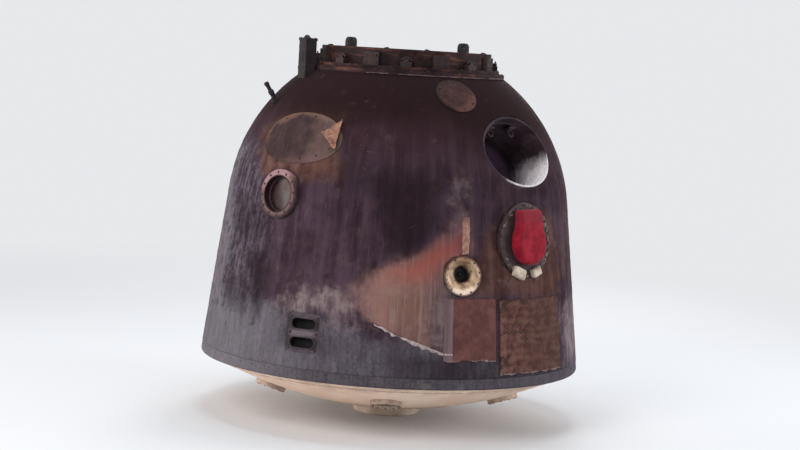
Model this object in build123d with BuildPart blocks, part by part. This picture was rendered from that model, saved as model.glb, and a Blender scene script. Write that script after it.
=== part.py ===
from build123d import *
import os
from math import asin, cos, degrees, radians, sin, sqrt, tan

# A landed crew capsule: a bell-shaped descent module that has dropped its heat shield.
# Millimetres, +Z up along the capsule's axis, origin on the floor under the foot.
# Azimuth runs from the -Y side, positive towards +X. Heights are measured up from the rim plane.

# The bell's outline
rim_radius = 1100.0
cone_angle = 7.0
sphere_height = 850.0
wall = 60.0
shoulder_radius = 566.0
seam_height = 430.0
gap = 0.3
pin_play = 0.05

# The base under the rim
ring_height = 60.0
ring_seat = 75.0
ring_corner = 10.0
dome_curve_radius = 2235.0
dome_edge_margin = 40.0
dome_wall = 45.0
foot_radius = 190.0
foot_height = 55.0
foot_chamfer = 8.0
floor_thickness = 15.0
base_bolt_margin = 25.0
base_bolt_radius = 6.0
base_bolt_depth = 30.0
base_bolt_count = 12

# Soft-landing engines in the base dome
engine_count = 6
engine_circle_radius = 760.0
engine_radius = 88.0
engine_stand = 22.0
engine_recess_radius = 62.0
engine_recess_depth = 14.0

# The ring round the hatch
flange_overhang = 5.0
flange_thickness = 25.0
step_margin = 30.0
step_height = 20.0
collar_margin = 80.0
collar_wall = 65.0
collar_height = 140.0
coaming_wall = 30.0
coaming_height = 100.0
hatch_bore_radius = 300.0
ring_bolt_radius = 7.0
ring_bolt_depth = 40.0
ring_bolt_count = 12
pad_count = 8
pad_size = (92.0, 26.0, 74.0)

# Lifting lugs on the ring
lug_count = 4
lug_first_azimuth = 45.0
lug_thickness = 20.0
lug_length = 50.0
lug_height = 55.0
lug_bore_radius = 14.0
lug_bore_height = 28.0

# The hatch lid, which swings down into the cabin
lid_overlap = 45.0
lid_thickness = 40.0
lid_border = 95.0
lid_dish_depth = 18.0
handle_size = (150.0, 16.0, 10.0)
hinge_margin = 50.0
hinge_drop = 25.0
hinge_pin_radius = 8.0
arm_width = 70.0
arm_thickness = 30.0
ear_thickness = 20.0
ear_size = 40.0
wheel_radius = 105.0
wheel_rod = 9.0
wheel_edge = 8.0
wheel_spoke = 6.0
wheel_stand = 34.0
wheel_hub_radius = 24.0
spoke_count = 6

# Windows: name, azimuth
window_table = [("left", -41.2), ("rear", 139.0)]
window_height = 978.0
window_flange_radius = 135.0
window_barrel_step = 23.0
window_seat = 12.0
window_stand = 20.0
window_barrel_wall = 14.0
window_ledge = 9.0
window_glass_thickness = 14.0
window_glass_depth = 34.0
window_bevel = 14.0
window_inner_stand = 8.0

# The periscope port and the red cap over it
scope_azimuth = 45.0
scope_height = 800.0
scope_flange_width = 115.0
scope_seat = 24.0
scope_flange_stand = 4.0
scope_barrel_radius = 90.0
scope_barrel_stand = 45.0
scope_barrel_depth = 78.0
scope_barrel_wall = 24.0
scope_lens_depth = 22.0
scope_lens_thickness = 16.0
scope_lens_ledge = 10.0
cap_wall = 27.0
cap_drop = 23.0
cap_shoulder = 29.0
cap_top_reach = 48.0
cap_corner = 25.0
cap_skin = 20.0
cap_clearance = 0.6
cap_edge = 12.0
retainer_margin = 43.0
retainer_table = [(-22.0, 88.0, 56.0), (21.0, 66.0, 50.0)]
retainer_thickness = 30.0
retainer_edge = 8.0

# Round thruster nozzles: name, azimuth
nozzle_table = [("front", 21.0), ("rear", -159.0)]
nozzle_height = 611.0
nozzle_radius = 107.0
nozzle_flange_step = 12.0
nozzle_seat = 9.0
nozzle_stand = 14.0
nozzle_lip = 21.0
nozzle_throat_radius = 50.0
nozzle_cone_depth = 56.0
nozzle_depth = 84.0
nozzle_back = 14.0

# Paired roll thrusters: name, azimuth
thruster_table = [("left", -26.1), ("right", 153.9)]
thruster_height = 252.0
thruster_width = 190.0
thruster_length = 214.0
thruster_corner = 28.0
slot_length = 145.0
slot_width = 55.0
slot_pitch = 102.0
slot_depth = 42.0

# Parachute containers
main_azimuth = 48.0
main_height = 1285.0
main_half_width = 262.0
main_half_height = 198.0
well_wall = 10.0
well_depth = 390.0
well_lip = 3.0
reserve_azimuth = -39.0
reserve_height = 1290.0
reserve_half_width = 275.0
reserve_half_height = 150.0
reserve_lid_stand = 6.0
reserve_case_margin = 25.0
reserve_case_depth = 300.0

# Overlays on the heat-proof coat
torn_flap_corners = [(-29.5, 1321.0), (-22.6, 1394.0), (-22.2, 1229.0)]
torn_flap_thickness = 9.0
vent_table = [("front", 24.8), ("rear", -155.2)]
vent_drop = 100.0
vent_radius = 118.0
vent_thickness = 10.0
raceway_azimuth = 22.0
raceway_height = 829.0
raceway_size = (45.0, 212.0)
raceway_tilt = -4.0
raceway_thickness = 14.0
smooth_panel_azimuths = (15.4, 32.3)
smooth_panel_heights = (150.0, 490.0)
panel_thickness = 9.0
ribbed_panel_azimuths = (33.8, 61.5)
ribbed_panel_heights = (75.0, 482.0)
rib_count = 9
rib_rise = 5.0

# The umbilical plate low on the rear
umbilical_azimuth = -132.0
umbilical_height = 290.0
umbilical_size = (400.0, 230.0)
umbilical_corner = 30.0
umbilical_margin = 66.0
umbilical_seat = 24.0
umbilical_stand = 6.0
plug_radius = 27.0
plug_stand = 22.0
plug_columns, plug_rows = 4, 2

# Beacon post and antenna stub beside the ring
post_azimuth = -68.0
post_clearance = 2.0
post_size = (68.0, 120.0)
post_rise = 170.0
post_corner = 8.0
stub_azimuth = -69.0
stub_drop = 195.0
stub_elevation = 57.0
stub_radius = 8.0
stub_length = 125.0
stub_foot_radius = 24.0
stub_foot_height = 14.0

# Cabin: couches in a fan, and the instrument panel over the knees
couch_fan_radius = 1050.0
couch_angles = {"left": 28.0, "centre": 0.0, "right": -28.0}
couch_head = (1500.0, 300.0)
couch_hip = (820.0, 200.0)
couch_knee = (735.0, 525.0)
couch_heel = (480.0, 465.0)
couch_shell = 42.0
couch_head_width = 400.0
couch_foot_width = 205.0
couch_leg_places = (1330.0, 850.0)
couch_leg_sink = 10.0
couch_leg_length = 60.0
couch_leg_width = 240.0
couch_pad_thickness = 38.0
couch_pad_margin = 14.0
panel_size = (620.0, 60.0, 250.0)
panel_place = (-600.0, 760.0)
panel_tilt = 25.0
bracket_offset = 170.0
bracket_size = (40.0, 50.0)

# Worked out from the sizes above
cone = radians(cone_angle)
sphere_radius = (rim_radius - sphere_height * tan(cone)) * cos(cone)
top_height = sphere_height + sqrt(sphere_radius**2 - shoulder_radius**2)
dome_edge_radius = rim_radius - dome_edge_margin
ring_inner_radius = dome_edge_radius - ring_seat
dome_sag = dome_curve_radius - sqrt(dome_curve_radius**2 - dome_edge_radius**2)
rim_z = foot_height + dome_sag
flange_radius = shoulder_radius + flange_overhang
step_radius = flange_radius - step_margin
collar_radius = flange_radius - collar_margin
lid_top = top_height - gap
lid_radius = hatch_bore_radius + lid_overlap
hinge_reach = lid_radius + hinge_margin
hinge_height = top_height - hinge_drop
collar_top = top_height + collar_height
window_barrel_radius = window_flange_radius - window_barrel_step
window_clear_radius = window_barrel_radius - window_barrel_wall
scope_flange_radius = scope_barrel_radius + scope_flange_width
scope_lens_radius = scope_barrel_radius - scope_barrel_wall
cap_radius = scope_barrel_radius + cap_wall
nozzle_barrel_radius = nozzle_radius - nozzle_flange_step
nozzle_mouth_radius = nozzle_radius - nozzle_lip

os.makedirs("parts", exist_ok=True)


def outline_radius(height, offset=0.0):
    """The bell's outer radius at a height, with its outline moved out by offset."""
    ball = sphere_radius + offset
    tangent = sphere_height + ball * sin(cone)
    if height < tangent:
        return ball * cos(cone) + (tangent - height) * tan(cone)
    return sqrt(ball**2 - (height - sphere_height) ** 2)


def outline_solid(offset, low, high):
    """Everything inside the outline moved out by offset, between two heights."""
    ball = sphere_radius + offset
    tangent = sphere_height + ball * sin(cone)
    arc_low = max(low, tangent)
    start = degrees(asin((arc_low - sphere_height) / ball))
    end = degrees(asin((high - sphere_height) / ball)) if high > tangent else start
    with BuildPart() as solid:
        with BuildSketch(axial_plane(90)):
            with BuildLine():
                Polyline((0, high), (0, low), (outline_radius(low, offset), low))
                if low < tangent:
                    knee = min(high, tangent)
                    Line((outline_radius(low, offset), low), (outline_radius(knee, offset), knee))
                if high > tangent:
                    CenterArc((0, sphere_height), ball, start, end - start)
                Line((outline_radius(high, offset), high), (0, high))
            make_face()
        revolve(axis=Axis.Z)
    return solid.part


def radial(azimuth):
    """The level direction out from the axis at an azimuth."""
    turn = radians(azimuth)
    return Vector(sin(turn), -cos(turn), 0)


def tangential(azimuth):
    """The level direction of growing azimuth."""
    turn = radians(azimuth)
    return Vector(cos(turn), sin(turn), 0)


def surface_plane(azimuth, height):
    """A plane that touches the bell, its x level, its y up the bell and its z outwards."""
    tangent = sphere_height + sphere_radius * sin(cone)
    rise = cone if height < tangent else asin((height - sphere_height) / sphere_radius)
    normal = radial(azimuth) * cos(rise) + Vector(0, 0, sin(rise))
    origin = radial(azimuth) * outline_radius(height) + Vector(0, 0, rim_z + height)
    return Plane(origin, x_dir=tangential(azimuth), z_dir=normal)


def axial_plane(azimuth):
    """A plane through the axis: its x runs out at the azimuth, its y up from the rim plane."""
    return Plane((0, 0, rim_z), x_dir=radial(azimuth), z_dir=radial(azimuth).cross(Vector(0, 0, 1)))


def write(piece, name):
    """Labels a finished piece and writes its file."""
    piece.part.label = name
    export_step(piece.part, f"parts/{name}.step")


# Bodies of the bell's outline, used to trim whatever follows its surface
bell = outline_solid(0, 0, top_height)
bell_clear = outline_solid(gap, 0, top_height)
cavity = outline_solid(-wall, 0, top_height)
cavity_clear = outline_solid(-wall - gap, 0, top_height)
window_planes = {name: surface_plane(azimuth, window_height) for name, azimuth in window_table}
nozzle_planes = {name: surface_plane(azimuth, nozzle_height) for name, azimuth in nozzle_table}
thruster_planes = {name: surface_plane(azimuth, thruster_height) for name, azimuth in thruster_table}
vent_planes = {name: surface_plane(azimuth, top_height - vent_drop) for name, azimuth in vent_table}
scope_plane = surface_plane(scope_azimuth, scope_height)
main_plane = surface_plane(main_azimuth, main_height)
reserve_plane = surface_plane(reserve_azimuth, reserve_height)
umbilical_plane = surface_plane(umbilical_azimuth, umbilical_height)

# Base dome: the pale lower bulkhead that shows once the heat shield is gone
dome_centre = (0, foot_height + dome_curve_radius)
dome_inner_radius = sqrt((dome_curve_radius - dome_wall) ** 2 - (dome_centre[1] - rim_z) ** 2)
outer_turn = degrees(asin(dome_edge_radius / dome_curve_radius))
inner_turn = degrees(asin(dome_inner_radius / (dome_curve_radius - dome_wall)))
with BuildPart() as base_dome:
    with BuildSketch(Plane.XZ):
        with BuildLine():
            Line((0, foot_height + dome_wall), (0, foot_height))
            CenterArc(dome_centre, dome_curve_radius, -90, outer_turn)
            Line((dome_edge_radius, rim_z), (dome_inner_radius, rim_z))
            CenterArc(dome_centre, dome_curve_radius - dome_wall, -90 + inner_turn, -inner_turn)
        make_face()
    revolve(axis=Axis.Z)
write(base_dome, "base_dome")

# Foot: the round cover at the lowest point, on which the capsule stands
with BuildPart() as foot:
    with BuildSketch(Plane.XY):
        Circle(foot_radius)
    extrude(amount=rim_z)
    with Locations((0, 0, dome_centre[1])):
        Sphere(dome_curve_radius + gap, mode=Mode.SUBTRACT)
    chamfer(foot.faces().sort_by(Axis.Z)[0].edges(), foot_chamfer)
write(foot, "base_foot")

# Soft-landing engines: six round nozzle blocks that stand proud of the dome
engine_seats = []
for index in range(engine_count):
    azimuth = index * 360 / engine_count
    engine_drop = sqrt(dome_curve_radius**2 - engine_circle_radius**2)
    from_centre = radial(azimuth) * engine_circle_radius - Vector(0, 0, engine_drop)
    engine_seats.append(
        Plane(
            from_centre + Vector(0, 0, dome_centre[1]), x_dir=tangential(azimuth), z_dir=from_centre
        )
    )
with BuildPart() as engines:
    for seat in engine_seats:
        with BuildSketch(seat.offset(engine_stand)):
            Circle(engine_radius)
        extrude(amount=-2 * engine_stand)
    with Locations((0, 0, dome_centre[1])):
        Sphere(dome_curve_radius + gap, mode=Mode.SUBTRACT)
    for seat in engine_seats:
        with BuildSketch(seat.offset(engine_stand)):
            Circle(engine_recess_radius)
        extrude(amount=-engine_recess_depth, mode=Mode.SUBTRACT)
write(engines, "landing_engines")

# Base ring: the frame at the widest point, with bolt holes where the heat shield was held
with BuildPart() as base_ring:
    with BuildSketch(axial_plane(90)):
        Polygon(
            (ring_inner_radius, 0),
            (rim_radius, 0),
            (outline_radius(ring_height), ring_height),
            (ring_inner_radius, ring_height),
            align=None,
        )
    revolve(axis=Axis.Z)
    fillet(base_ring.faces().sort_by(Axis.Z)[0].edges().sort_by(SortBy.RADIUS)[-1], ring_corner)
    with Locations(Plane((0, 0, rim_z), z_dir=(0, 0, -1))):
        with PolarLocations(rim_radius - base_bolt_margin, base_bolt_count):
            Hole(base_bolt_radius, base_bolt_depth)
write(base_ring, "base_ring")

# Cabin floor, which lies on the base ring inside the wall
floor_radius = outline_radius(ring_height + floor_thickness, -wall) - gap
floor_top = ring_height + floor_thickness
with BuildPart() as cabin_floor:
    with BuildSketch(Plane.XY.offset(rim_z + ring_height)):
        Circle(floor_radius)
    extrude(amount=floor_thickness)
write(cabin_floor, "cabin_floor")

# Lower wall: the cone between the base ring and the seam
with BuildPart() as side_wall:
    add(outline_solid(0, ring_height, seam_height))
    add(outline_solid(-wall, ring_height, seam_height), mode=Mode.SUBTRACT)
    for plane in thruster_planes.values():
        with BuildSketch(plane):
            RectangleRounded(
                thruster_width + 2 * gap, thruster_length + 2 * gap, thruster_corner + gap
            )
        extrude(amount=2 * wall, both=True, mode=Mode.SUBTRACT)
    with BuildSketch(umbilical_plane.offset(-umbilical_seat)):
        RectangleRounded(
            umbilical_size[0] + 2 * gap, umbilical_size[1] + 2 * gap, umbilical_corner + gap
        )
    extrude(amount=2 * wall, mode=Mode.SUBTRACT)
write(side_wall, "side_wall")

# Upper shell: the rest of the cone and the sphere up to the hatch ring
with BuildPart() as upper_shell:
    add(outline_solid(0, seam_height, top_height))
    add(outline_solid(-wall, seam_height, top_height), mode=Mode.SUBTRACT)
    for planes, flange, barrel, seat in [
        (window_planes.values(), window_flange_radius, window_barrel_radius, window_seat),
        (nozzle_planes.values(), nozzle_radius, nozzle_barrel_radius, nozzle_seat),
        ([scope_plane], scope_flange_radius, scope_barrel_radius, scope_seat),
    ]:
        for plane in planes:
            with BuildSketch(plane.offset(-seat)):
                Circle(flange + gap)
            extrude(amount=2 * wall, mode=Mode.SUBTRACT)
            with BuildSketch(plane):
                Circle(barrel + gap)
            extrude(amount=-2 * wall, mode=Mode.SUBTRACT)
    for plane, half_width, half_height in [
        (main_plane, main_half_width + well_wall, main_half_height + well_wall),
        (reserve_plane, reserve_half_width, reserve_half_height),
    ]:
        with BuildSketch(plane):
            Ellipse(half_width + gap, half_height + gap)
        extrude(amount=3 * wall, both=True, mode=Mode.SUBTRACT)
write(upper_shell, "upper_shell")

# Window frames and panes
for name, plane in window_planes.items():
    with BuildPart() as frame:
        with BuildSketch(plane.offset(-window_seat)):
            Circle(window_flange_radius)
        extrude(amount=window_seat + window_stand)
        chamfer(frame.faces().sort_by(SortBy.DISTANCE)[-1].edges(), window_bevel / 2)
        with BuildSketch(plane.offset(-window_seat)):
            Circle(window_barrel_radius)
        extrude(amount=window_seat - wall - window_inner_stand)
        with BuildSketch(plane.offset(window_stand)):
            Circle(window_clear_radius)
        extrude(amount=-window_stand - window_glass_depth, mode=Mode.SUBTRACT)
        with BuildSketch(plane.offset(window_stand)):
            Circle(window_clear_radius - window_ledge)
        extrude(amount=-3 * wall, mode=Mode.SUBTRACT)
    write(frame, f"window_frame_{name}")
    with BuildPart() as pane:
        with BuildSketch(plane.offset(-window_glass_depth)):
            Circle(window_clear_radius - gap)
        extrude(amount=window_glass_thickness)
    write(pane, f"window_glass_{name}")

# Periscope port: a flanged barrel with its lens
with BuildPart() as scope:
    with BuildSketch(scope_plane.offset(-scope_seat)):
        Circle(scope_flange_radius)
    extrude(amount=scope_seat + scope_flange_stand)
    with BuildSketch(scope_plane.offset(scope_barrel_stand)):
        Circle(scope_barrel_radius)
    extrude(amount=-scope_barrel_stand - scope_barrel_depth)
    with BuildSketch(scope_plane.offset(scope_barrel_stand)):
        Circle(scope_lens_radius)
    extrude(amount=-scope_lens_depth - scope_lens_thickness, mode=Mode.SUBTRACT)
    with BuildSketch(scope_plane.offset(scope_barrel_stand)):
        Circle(scope_lens_radius - scope_lens_ledge)
    extrude(amount=-3 * wall, mode=Mode.SUBTRACT)
write(scope, "periscope_port")
with BuildPart() as lens:
    with BuildSketch(scope_plane.offset(scope_barrel_stand - scope_lens_depth - scope_lens_thickness)):
        Circle(scope_lens_radius - gap)
    extrude(amount=scope_lens_thickness)
write(lens, "periscope_lens")

# Red cap: a stiff cover over the periscope barrel, round below and narrower above, which pulls off
cap_base = scope_flange_stand + gap
cap_corner_x = cap_radius - cap_shoulder - cap_corner
cap_corner_y = cap_radius + cap_top_reach - cap_corner
cap_bore = scope_barrel_radius + cap_clearance
with BuildPart() as cap:
    with BuildSketch(scope_plane.offset(cap_base)):
        with Locations((0, -cap_drop)):
            Circle(cap_radius)
        with Locations((-cap_corner_x, cap_corner_y), (cap_corner_x, cap_corner_y)):
            Circle(cap_corner)
        make_hull()
    extrude(amount=scope_barrel_stand + cap_clearance + cap_skin - cap_base)
    cap_face = cap.faces().filter_by(lambda f: f.normal_at().dot(scope_plane.z_dir) > 0.99)
    chamfer(cap_face.edges(), cap_edge)
    with BuildSketch(scope_plane.offset(cap_base)):
        Circle(cap_bore)
    extrude(amount=scope_barrel_stand + cap_clearance - cap_base, mode=Mode.SUBTRACT)
write(cap, "periscope_cap")

# Retainer blocks at the lower edge of the periscope flange
with BuildPart() as retainers:
    for turn, width, height in retainer_table:
        with BuildSketch(scope_plane.offset(scope_flange_stand + gap)):
            with PolarLocations(scope_flange_radius - retainer_margin + height / 2, 1, turn - 90):
                RectangleRounded(height, width, retainer_edge)
        extrude(amount=retainer_thickness)
    outer_faces = retainers.faces().filter_by(lambda f: f.normal_at().dot(scope_plane.z_dir) > 0.99)
    chamfer(outer_faces.edges(), retainer_edge)
write(retainers, "retainer_blocks")

# Round thruster nozzles: a flared cup in a flanged barrel
for name, plane in nozzle_planes.items():
    with BuildPart() as nozzle:
        with BuildSketch(plane.offset(-nozzle_seat)):
            Circle(nozzle_radius)
        extrude(amount=nozzle_seat + nozzle_stand)
        with BuildSketch(plane.offset(-nozzle_seat)):
            Circle(nozzle_barrel_radius)
        extrude(amount=nozzle_seat - nozzle_depth - nozzle_back)
        with BuildSketch(plane.offset(nozzle_stand)):
            Circle(nozzle_mouth_radius)
        with BuildSketch(plane.offset(nozzle_stand - nozzle_cone_depth)):
            Circle(nozzle_throat_radius)
        loft(mode=Mode.SUBTRACT)
        with BuildSketch(plane.offset(nozzle_stand - nozzle_cone_depth)):
            Circle(nozzle_throat_radius)
        extrude(amount=nozzle_cone_depth - nozzle_stand - nozzle_depth, mode=Mode.SUBTRACT)
    write(nozzle, f"nozzle_{name}")

# Paired roll thrusters: a block flush with the wall, with two slanted mouths
for name, plane in thruster_planes.items():
    with BuildPart() as thruster:
        with BuildSketch(plane):
            RectangleRounded(thruster_width, thruster_length, thruster_corner)
        extrude(amount=2 * wall, both=True)
        add(bell, mode=Mode.INTERSECT)
        add(cavity, mode=Mode.SUBTRACT)
        with BuildSketch(plane.offset(-slot_depth)):
            with GridLocations(0, slot_pitch, 1, 2):
                SlotOverall(slot_length, slot_width)
        extrude(amount=2 * wall, mode=Mode.SUBTRACT)
    write(thruster, f"roll_thrusters_{name}")

# Main parachute container: an open well, its lid thrown off when the parachute went
with BuildPart() as well:
    with BuildSketch(main_plane.offset(-well_depth - well_wall)):
        Ellipse(main_half_width + well_wall, main_half_height + well_wall)
    extrude(amount=well_depth + 3 * wall)
    add(outline_solid(well_lip, 0, top_height), mode=Mode.INTERSECT)
    with BuildSketch(main_plane.offset(-well_depth)):
        Ellipse(main_half_width, main_half_height)
    extrude(amount=well_depth + 3 * wall, mode=Mode.SUBTRACT)
write(well, "main_parachute_well")

# Reserve parachute container: its lid is still in place, over a packed case
with BuildPart() as reserve_lid:
    with BuildSketch(reserve_plane):
        Ellipse(reserve_half_width, reserve_half_height)
    extrude(amount=3 * wall, both=True)
    add(outline_solid(reserve_lid_stand, 0, top_height), mode=Mode.INTERSECT)
    add(cavity, mode=Mode.SUBTRACT)
write(reserve_lid, "reserve_parachute_lid")
with BuildPart() as reserve_case:
    with BuildSketch(reserve_plane.offset(-wall - reserve_case_depth)):
        Ellipse(reserve_half_width + reserve_case_margin, reserve_half_height + reserve_case_margin)
    extrude(amount=reserve_case_depth + 3 * wall)
    add(cavity_clear, mode=Mode.INTERSECT)
write(reserve_case, "reserve_parachute_case")

# Round vent covers on the sphere
with_vents = outline_solid(vent_thickness, 0, top_height)
for name, plane in vent_planes.items():
    with BuildPart() as vent:
        with BuildSketch(plane):
            Circle(vent_radius)
        extrude(amount=2 * vent_thickness, both=True)
        add(with_vents, mode=Mode.INTERSECT)
        add(bell_clear, mode=Mode.SUBTRACT)
    write(vent, f"vent_cover_{name}")

# Torn flap of the outer coat, over the end of the reserve lid
flap_centre = (
    sum(azimuth for azimuth, _ in torn_flap_corners) / len(torn_flap_corners),
    sum(height for _, height in torn_flap_corners) / len(torn_flap_corners),
)
flap_plane = surface_plane(*flap_centre)
flap_points = [flap_plane.to_local_coords(surface_plane(*corner).origin) for corner in torn_flap_corners]
with BuildPart() as torn_flap:
    with BuildSketch(flap_plane):
        Polygon(*[(point.X, point.Y) for point in flap_points], align=None)
    extrude(amount=2 * wall, both=True)
    add(outline_solid(reserve_lid_stand + gap + torn_flap_thickness, 0, top_height), mode=Mode.INTERSECT)
    add(outline_solid(reserve_lid_stand + gap, 0, top_height), mode=Mode.SUBTRACT)
write(torn_flap, "torn_flap")

# Raceway: the narrow cover that runs up from the front nozzle
with BuildPart() as raceway:
    with BuildSketch(surface_plane(raceway_azimuth, raceway_height)):
        with Locations(Location((0, 0, 0), (0, 0, raceway_tilt))):
            Rectangle(*raceway_size)
    extrude(amount=wall, both=True)
    add(outline_solid(raceway_thickness, 0, top_height), mode=Mode.INTERSECT)
    add(bell_clear, mode=Mode.SUBTRACT)
write(raceway, "cable_raceway")


def cone_point(height, offset):
    """A point of the cone's profile in an axial plane, moved out square to the wall."""
    return (outline_radius(height) + offset * cos(cone), height + offset * sin(cone))


# Smooth panel and ribbed panel of the heat-proof coat, low on the right
low, high = smooth_panel_heights
with BuildPart() as smooth_panel:
    with BuildSketch(axial_plane(smooth_panel_azimuths[0])):
        Polygon(
            cone_point(low, gap),
            cone_point(low, gap + panel_thickness),
            cone_point(high, gap + panel_thickness),
            cone_point(high, gap),
            align=None,
        )
    revolve(axis=Axis.Z, revolution_arc=smooth_panel_azimuths[1] - smooth_panel_azimuths[0])
write(smooth_panel, "smooth_panel")
low, high = ribbed_panel_heights
rib_pitch = (high - low) / rib_count
rib_outline = [cone_point(high, gap), cone_point(low, gap)]
for index in range(rib_count):
    foot_of_rib = low + index * rib_pitch
    rib_outline += [
        cone_point(foot_of_rib, gap + panel_thickness),
        cone_point(foot_of_rib + rib_pitch / 2, gap + panel_thickness + rib_rise),
    ]
rib_outline.append(cone_point(high, gap + panel_thickness))
with BuildPart() as ribbed_panel:
    with BuildSketch(axial_plane(ribbed_panel_azimuths[0])):
        Polygon(*rib_outline, align=None)
    revolve(axis=Axis.Z, revolution_arc=ribbed_panel_azimuths[1] - ribbed_panel_azimuths[0])
write(ribbed_panel, "ribbed_panel")

# Umbilical plate with its plugs
with BuildPart() as umbilical:
    with BuildSketch(umbilical_plane.offset(-umbilical_seat)):
        RectangleRounded(*umbilical_size, umbilical_corner)
    extrude(amount=umbilical_seat + umbilical_stand)
write(umbilical, "umbilical_plate")
with BuildPart() as plugs:
    with BuildSketch(umbilical_plane.offset(umbilical_stand)):
        with GridLocations(
            (umbilical_size[0] - 2 * umbilical_margin) / (plug_columns - 1),
            (umbilical_size[1] - 2 * umbilical_margin) / (plug_rows - 1),
            plug_columns,
            plug_rows,
        ):
            Circle(plug_radius)
    extrude(amount=plug_stand)
write(plugs, "umbilical_plugs")

# Hatch coaming: a flange on the shell with the raised rim of the opening
flange_top = top_height + flange_thickness
with BuildPart() as hatch_coaming:
    with BuildSketch(axial_plane(90)):
        Polygon(
            (hatch_bore_radius, top_height),
            (flange_radius, top_height),
            (flange_radius, flange_top),
            (hatch_bore_radius + coaming_wall, flange_top),
            (hatch_bore_radius + coaming_wall, top_height + coaming_height),
            (hatch_bore_radius, top_height + coaming_height),
            align=None,
        )
    revolve(axis=Axis.Z)
write(hatch_coaming, "hatch_coaming")

# Docking collar: the stepped ring on the flange, drilled on top
with BuildPart() as docking_collar:
    with BuildSketch(axial_plane(90)):
        Polygon(
            (collar_radius - collar_wall, flange_top),
            (step_radius, flange_top),
            (step_radius, flange_top + step_height),
            (collar_radius, flange_top + step_height),
            (collar_radius, collar_top),
            (collar_radius - collar_wall, collar_top),
            align=None,
        )
    revolve(axis=Axis.Z)
    with Locations((0, 0, rim_z + collar_top)):
        with PolarLocations(collar_radius - collar_wall / 2, ring_bolt_count):
            Hole(ring_bolt_radius, ring_bolt_depth)
write(docking_collar, "docking_collar")

# Lock pads round the collar
pad_low = flange_top + step_height + gap
with BuildPart() as pads:
    for index in range(pad_count):
        azimuth = (index + 0.5) * 360 / pad_count
        seat = Plane((0, 0, rim_z + pad_low), x_dir=tangential(azimuth), z_dir=(0, 0, 1))
        with BuildSketch(seat):
            with Locations((0, -collar_radius)):
                Rectangle(pad_size[0], 2 * pad_size[1])
        extrude(amount=pad_size[2])
    with BuildSketch(Plane.XY.offset(rim_z + top_height)):
        Circle(collar_radius + gap)
    extrude(amount=2 * collar_height, mode=Mode.SUBTRACT)
write(pads, "lock_pads")

# Lifting lugs on the collar
with BuildPart() as lugs:
    for index in range(lug_count):
        azimuth = lug_first_azimuth + index * 360 / lug_count
        side = Plane(
            radial(azimuth) * (collar_radius - collar_wall / 2) + Vector(0, 0, rim_z + collar_top),
            x_dir=radial(azimuth),
            z_dir=radial(azimuth).cross(Vector(0, 0, 1)),
        )
        with BuildSketch(side):
            with Locations((0, lug_bore_height / 2)):
                Rectangle(lug_length, lug_bore_height)
            with Locations((0, lug_bore_height)):
                Ellipse(lug_length / 2, lug_height - lug_bore_height)
            Rectangle(lug_length, lug_height, mode=Mode.INTERSECT, align=(Align.CENTER, Align.MIN))
            with Locations((0, lug_bore_height)):
                Circle(lug_bore_radius, mode=Mode.SUBTRACT)
        extrude(amount=lug_thickness / 2, both=True)
write(lugs, "lifting_lugs")

# Hatch lid with its hinge arm and pin, and the wheel under it
hinge = Plane(
    (0, hinge_reach, rim_z + hinge_height), x_dir=(0, 1, 0), z_dir=(1, 0, 0)
)
pin_length = arm_width + 2 * ear_thickness + 2 * gap
with BuildPart() as lid:
    with BuildSketch(Plane.XY.offset(rim_z + lid_top)):
        Circle(lid_radius)
    extrude(amount=-lid_thickness)
    with BuildSketch(Plane.XY.offset(rim_z + lid_top)):
        Circle(lid_radius - lid_border)
    extrude(amount=-lid_dish_depth, mode=Mode.SUBTRACT)
    with BuildSketch(Plane.XY.offset(rim_z + lid_top - lid_dish_depth)):
        Rectangle(handle_size[0], handle_size[1])
    extrude(amount=handle_size[2])
    with BuildSketch(hinge):
        Circle(arm_thickness / 2)
        with Locations(((lid_radius - hinge_reach) / 2 - arm_thickness / 2, 0)):
            Rectangle(hinge_reach - lid_radius + arm_thickness, arm_thickness)
    extrude(amount=arm_width / 2, both=True)
    with BuildSketch(hinge):
        Circle(hinge_pin_radius)
    extrude(amount=pin_length / 2, both=True)
write(lid, "hatch_lid")
wheel_height = lid_top - lid_thickness - wheel_stand
with BuildPart() as wheel:
    with BuildSketch(Plane.XZ):
        with Locations((wheel_radius, rim_z + wheel_height)):
            RectangleRounded(2 * wheel_rod, 2 * wheel_rod, wheel_edge)
    revolve(axis=Axis.Z)
    with BuildSketch(Plane.XY.offset(rim_z + wheel_height - wheel_rod)):
        Circle(wheel_hub_radius)
    extrude(amount=wheel_stand + wheel_rod - gap)
    spoke_start = wheel_hub_radius - wheel_rod
    for index in range(spoke_count):
        outward = radial(index * 360 / spoke_count)
        origin = outward * spoke_start + Vector(0, 0, rim_z + wheel_height)
        with BuildSketch(Plane(origin, x_dir=(0, 0, 1), z_dir=outward)):
            Circle(wheel_spoke)
        extrude(amount=wheel_radius - spoke_start)
write(wheel, "hatch_wheel")

# Hinge ears under the hatch ring
with BuildPart() as ears:
    for side in (-1, 1):
        with BuildSketch(hinge.offset(side * (arm_width / 2 + gap + ear_thickness / 2))):
            Rectangle(ear_size, 2 * hinge_drop)
            Circle(hinge_pin_radius + pin_play, mode=Mode.SUBTRACT)
        extrude(amount=ear_thickness / 2, both=True)
write(ears, "hatch_hinge_ears")

# Beacon post beside the ring
with BuildPart() as post:
    with BuildSketch(Plane((0, 0, rim_z), x_dir=radial(post_azimuth), z_dir=(0, 0, 1))):
        with Locations((flange_radius + post_clearance + post_size[0] / 2, 0)):
            RectangleRounded(*post_size, post_corner)
    extrude(amount=top_height + post_rise)
    add(bell_clear, mode=Mode.SUBTRACT)
write(post, "beacon_post")

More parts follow.
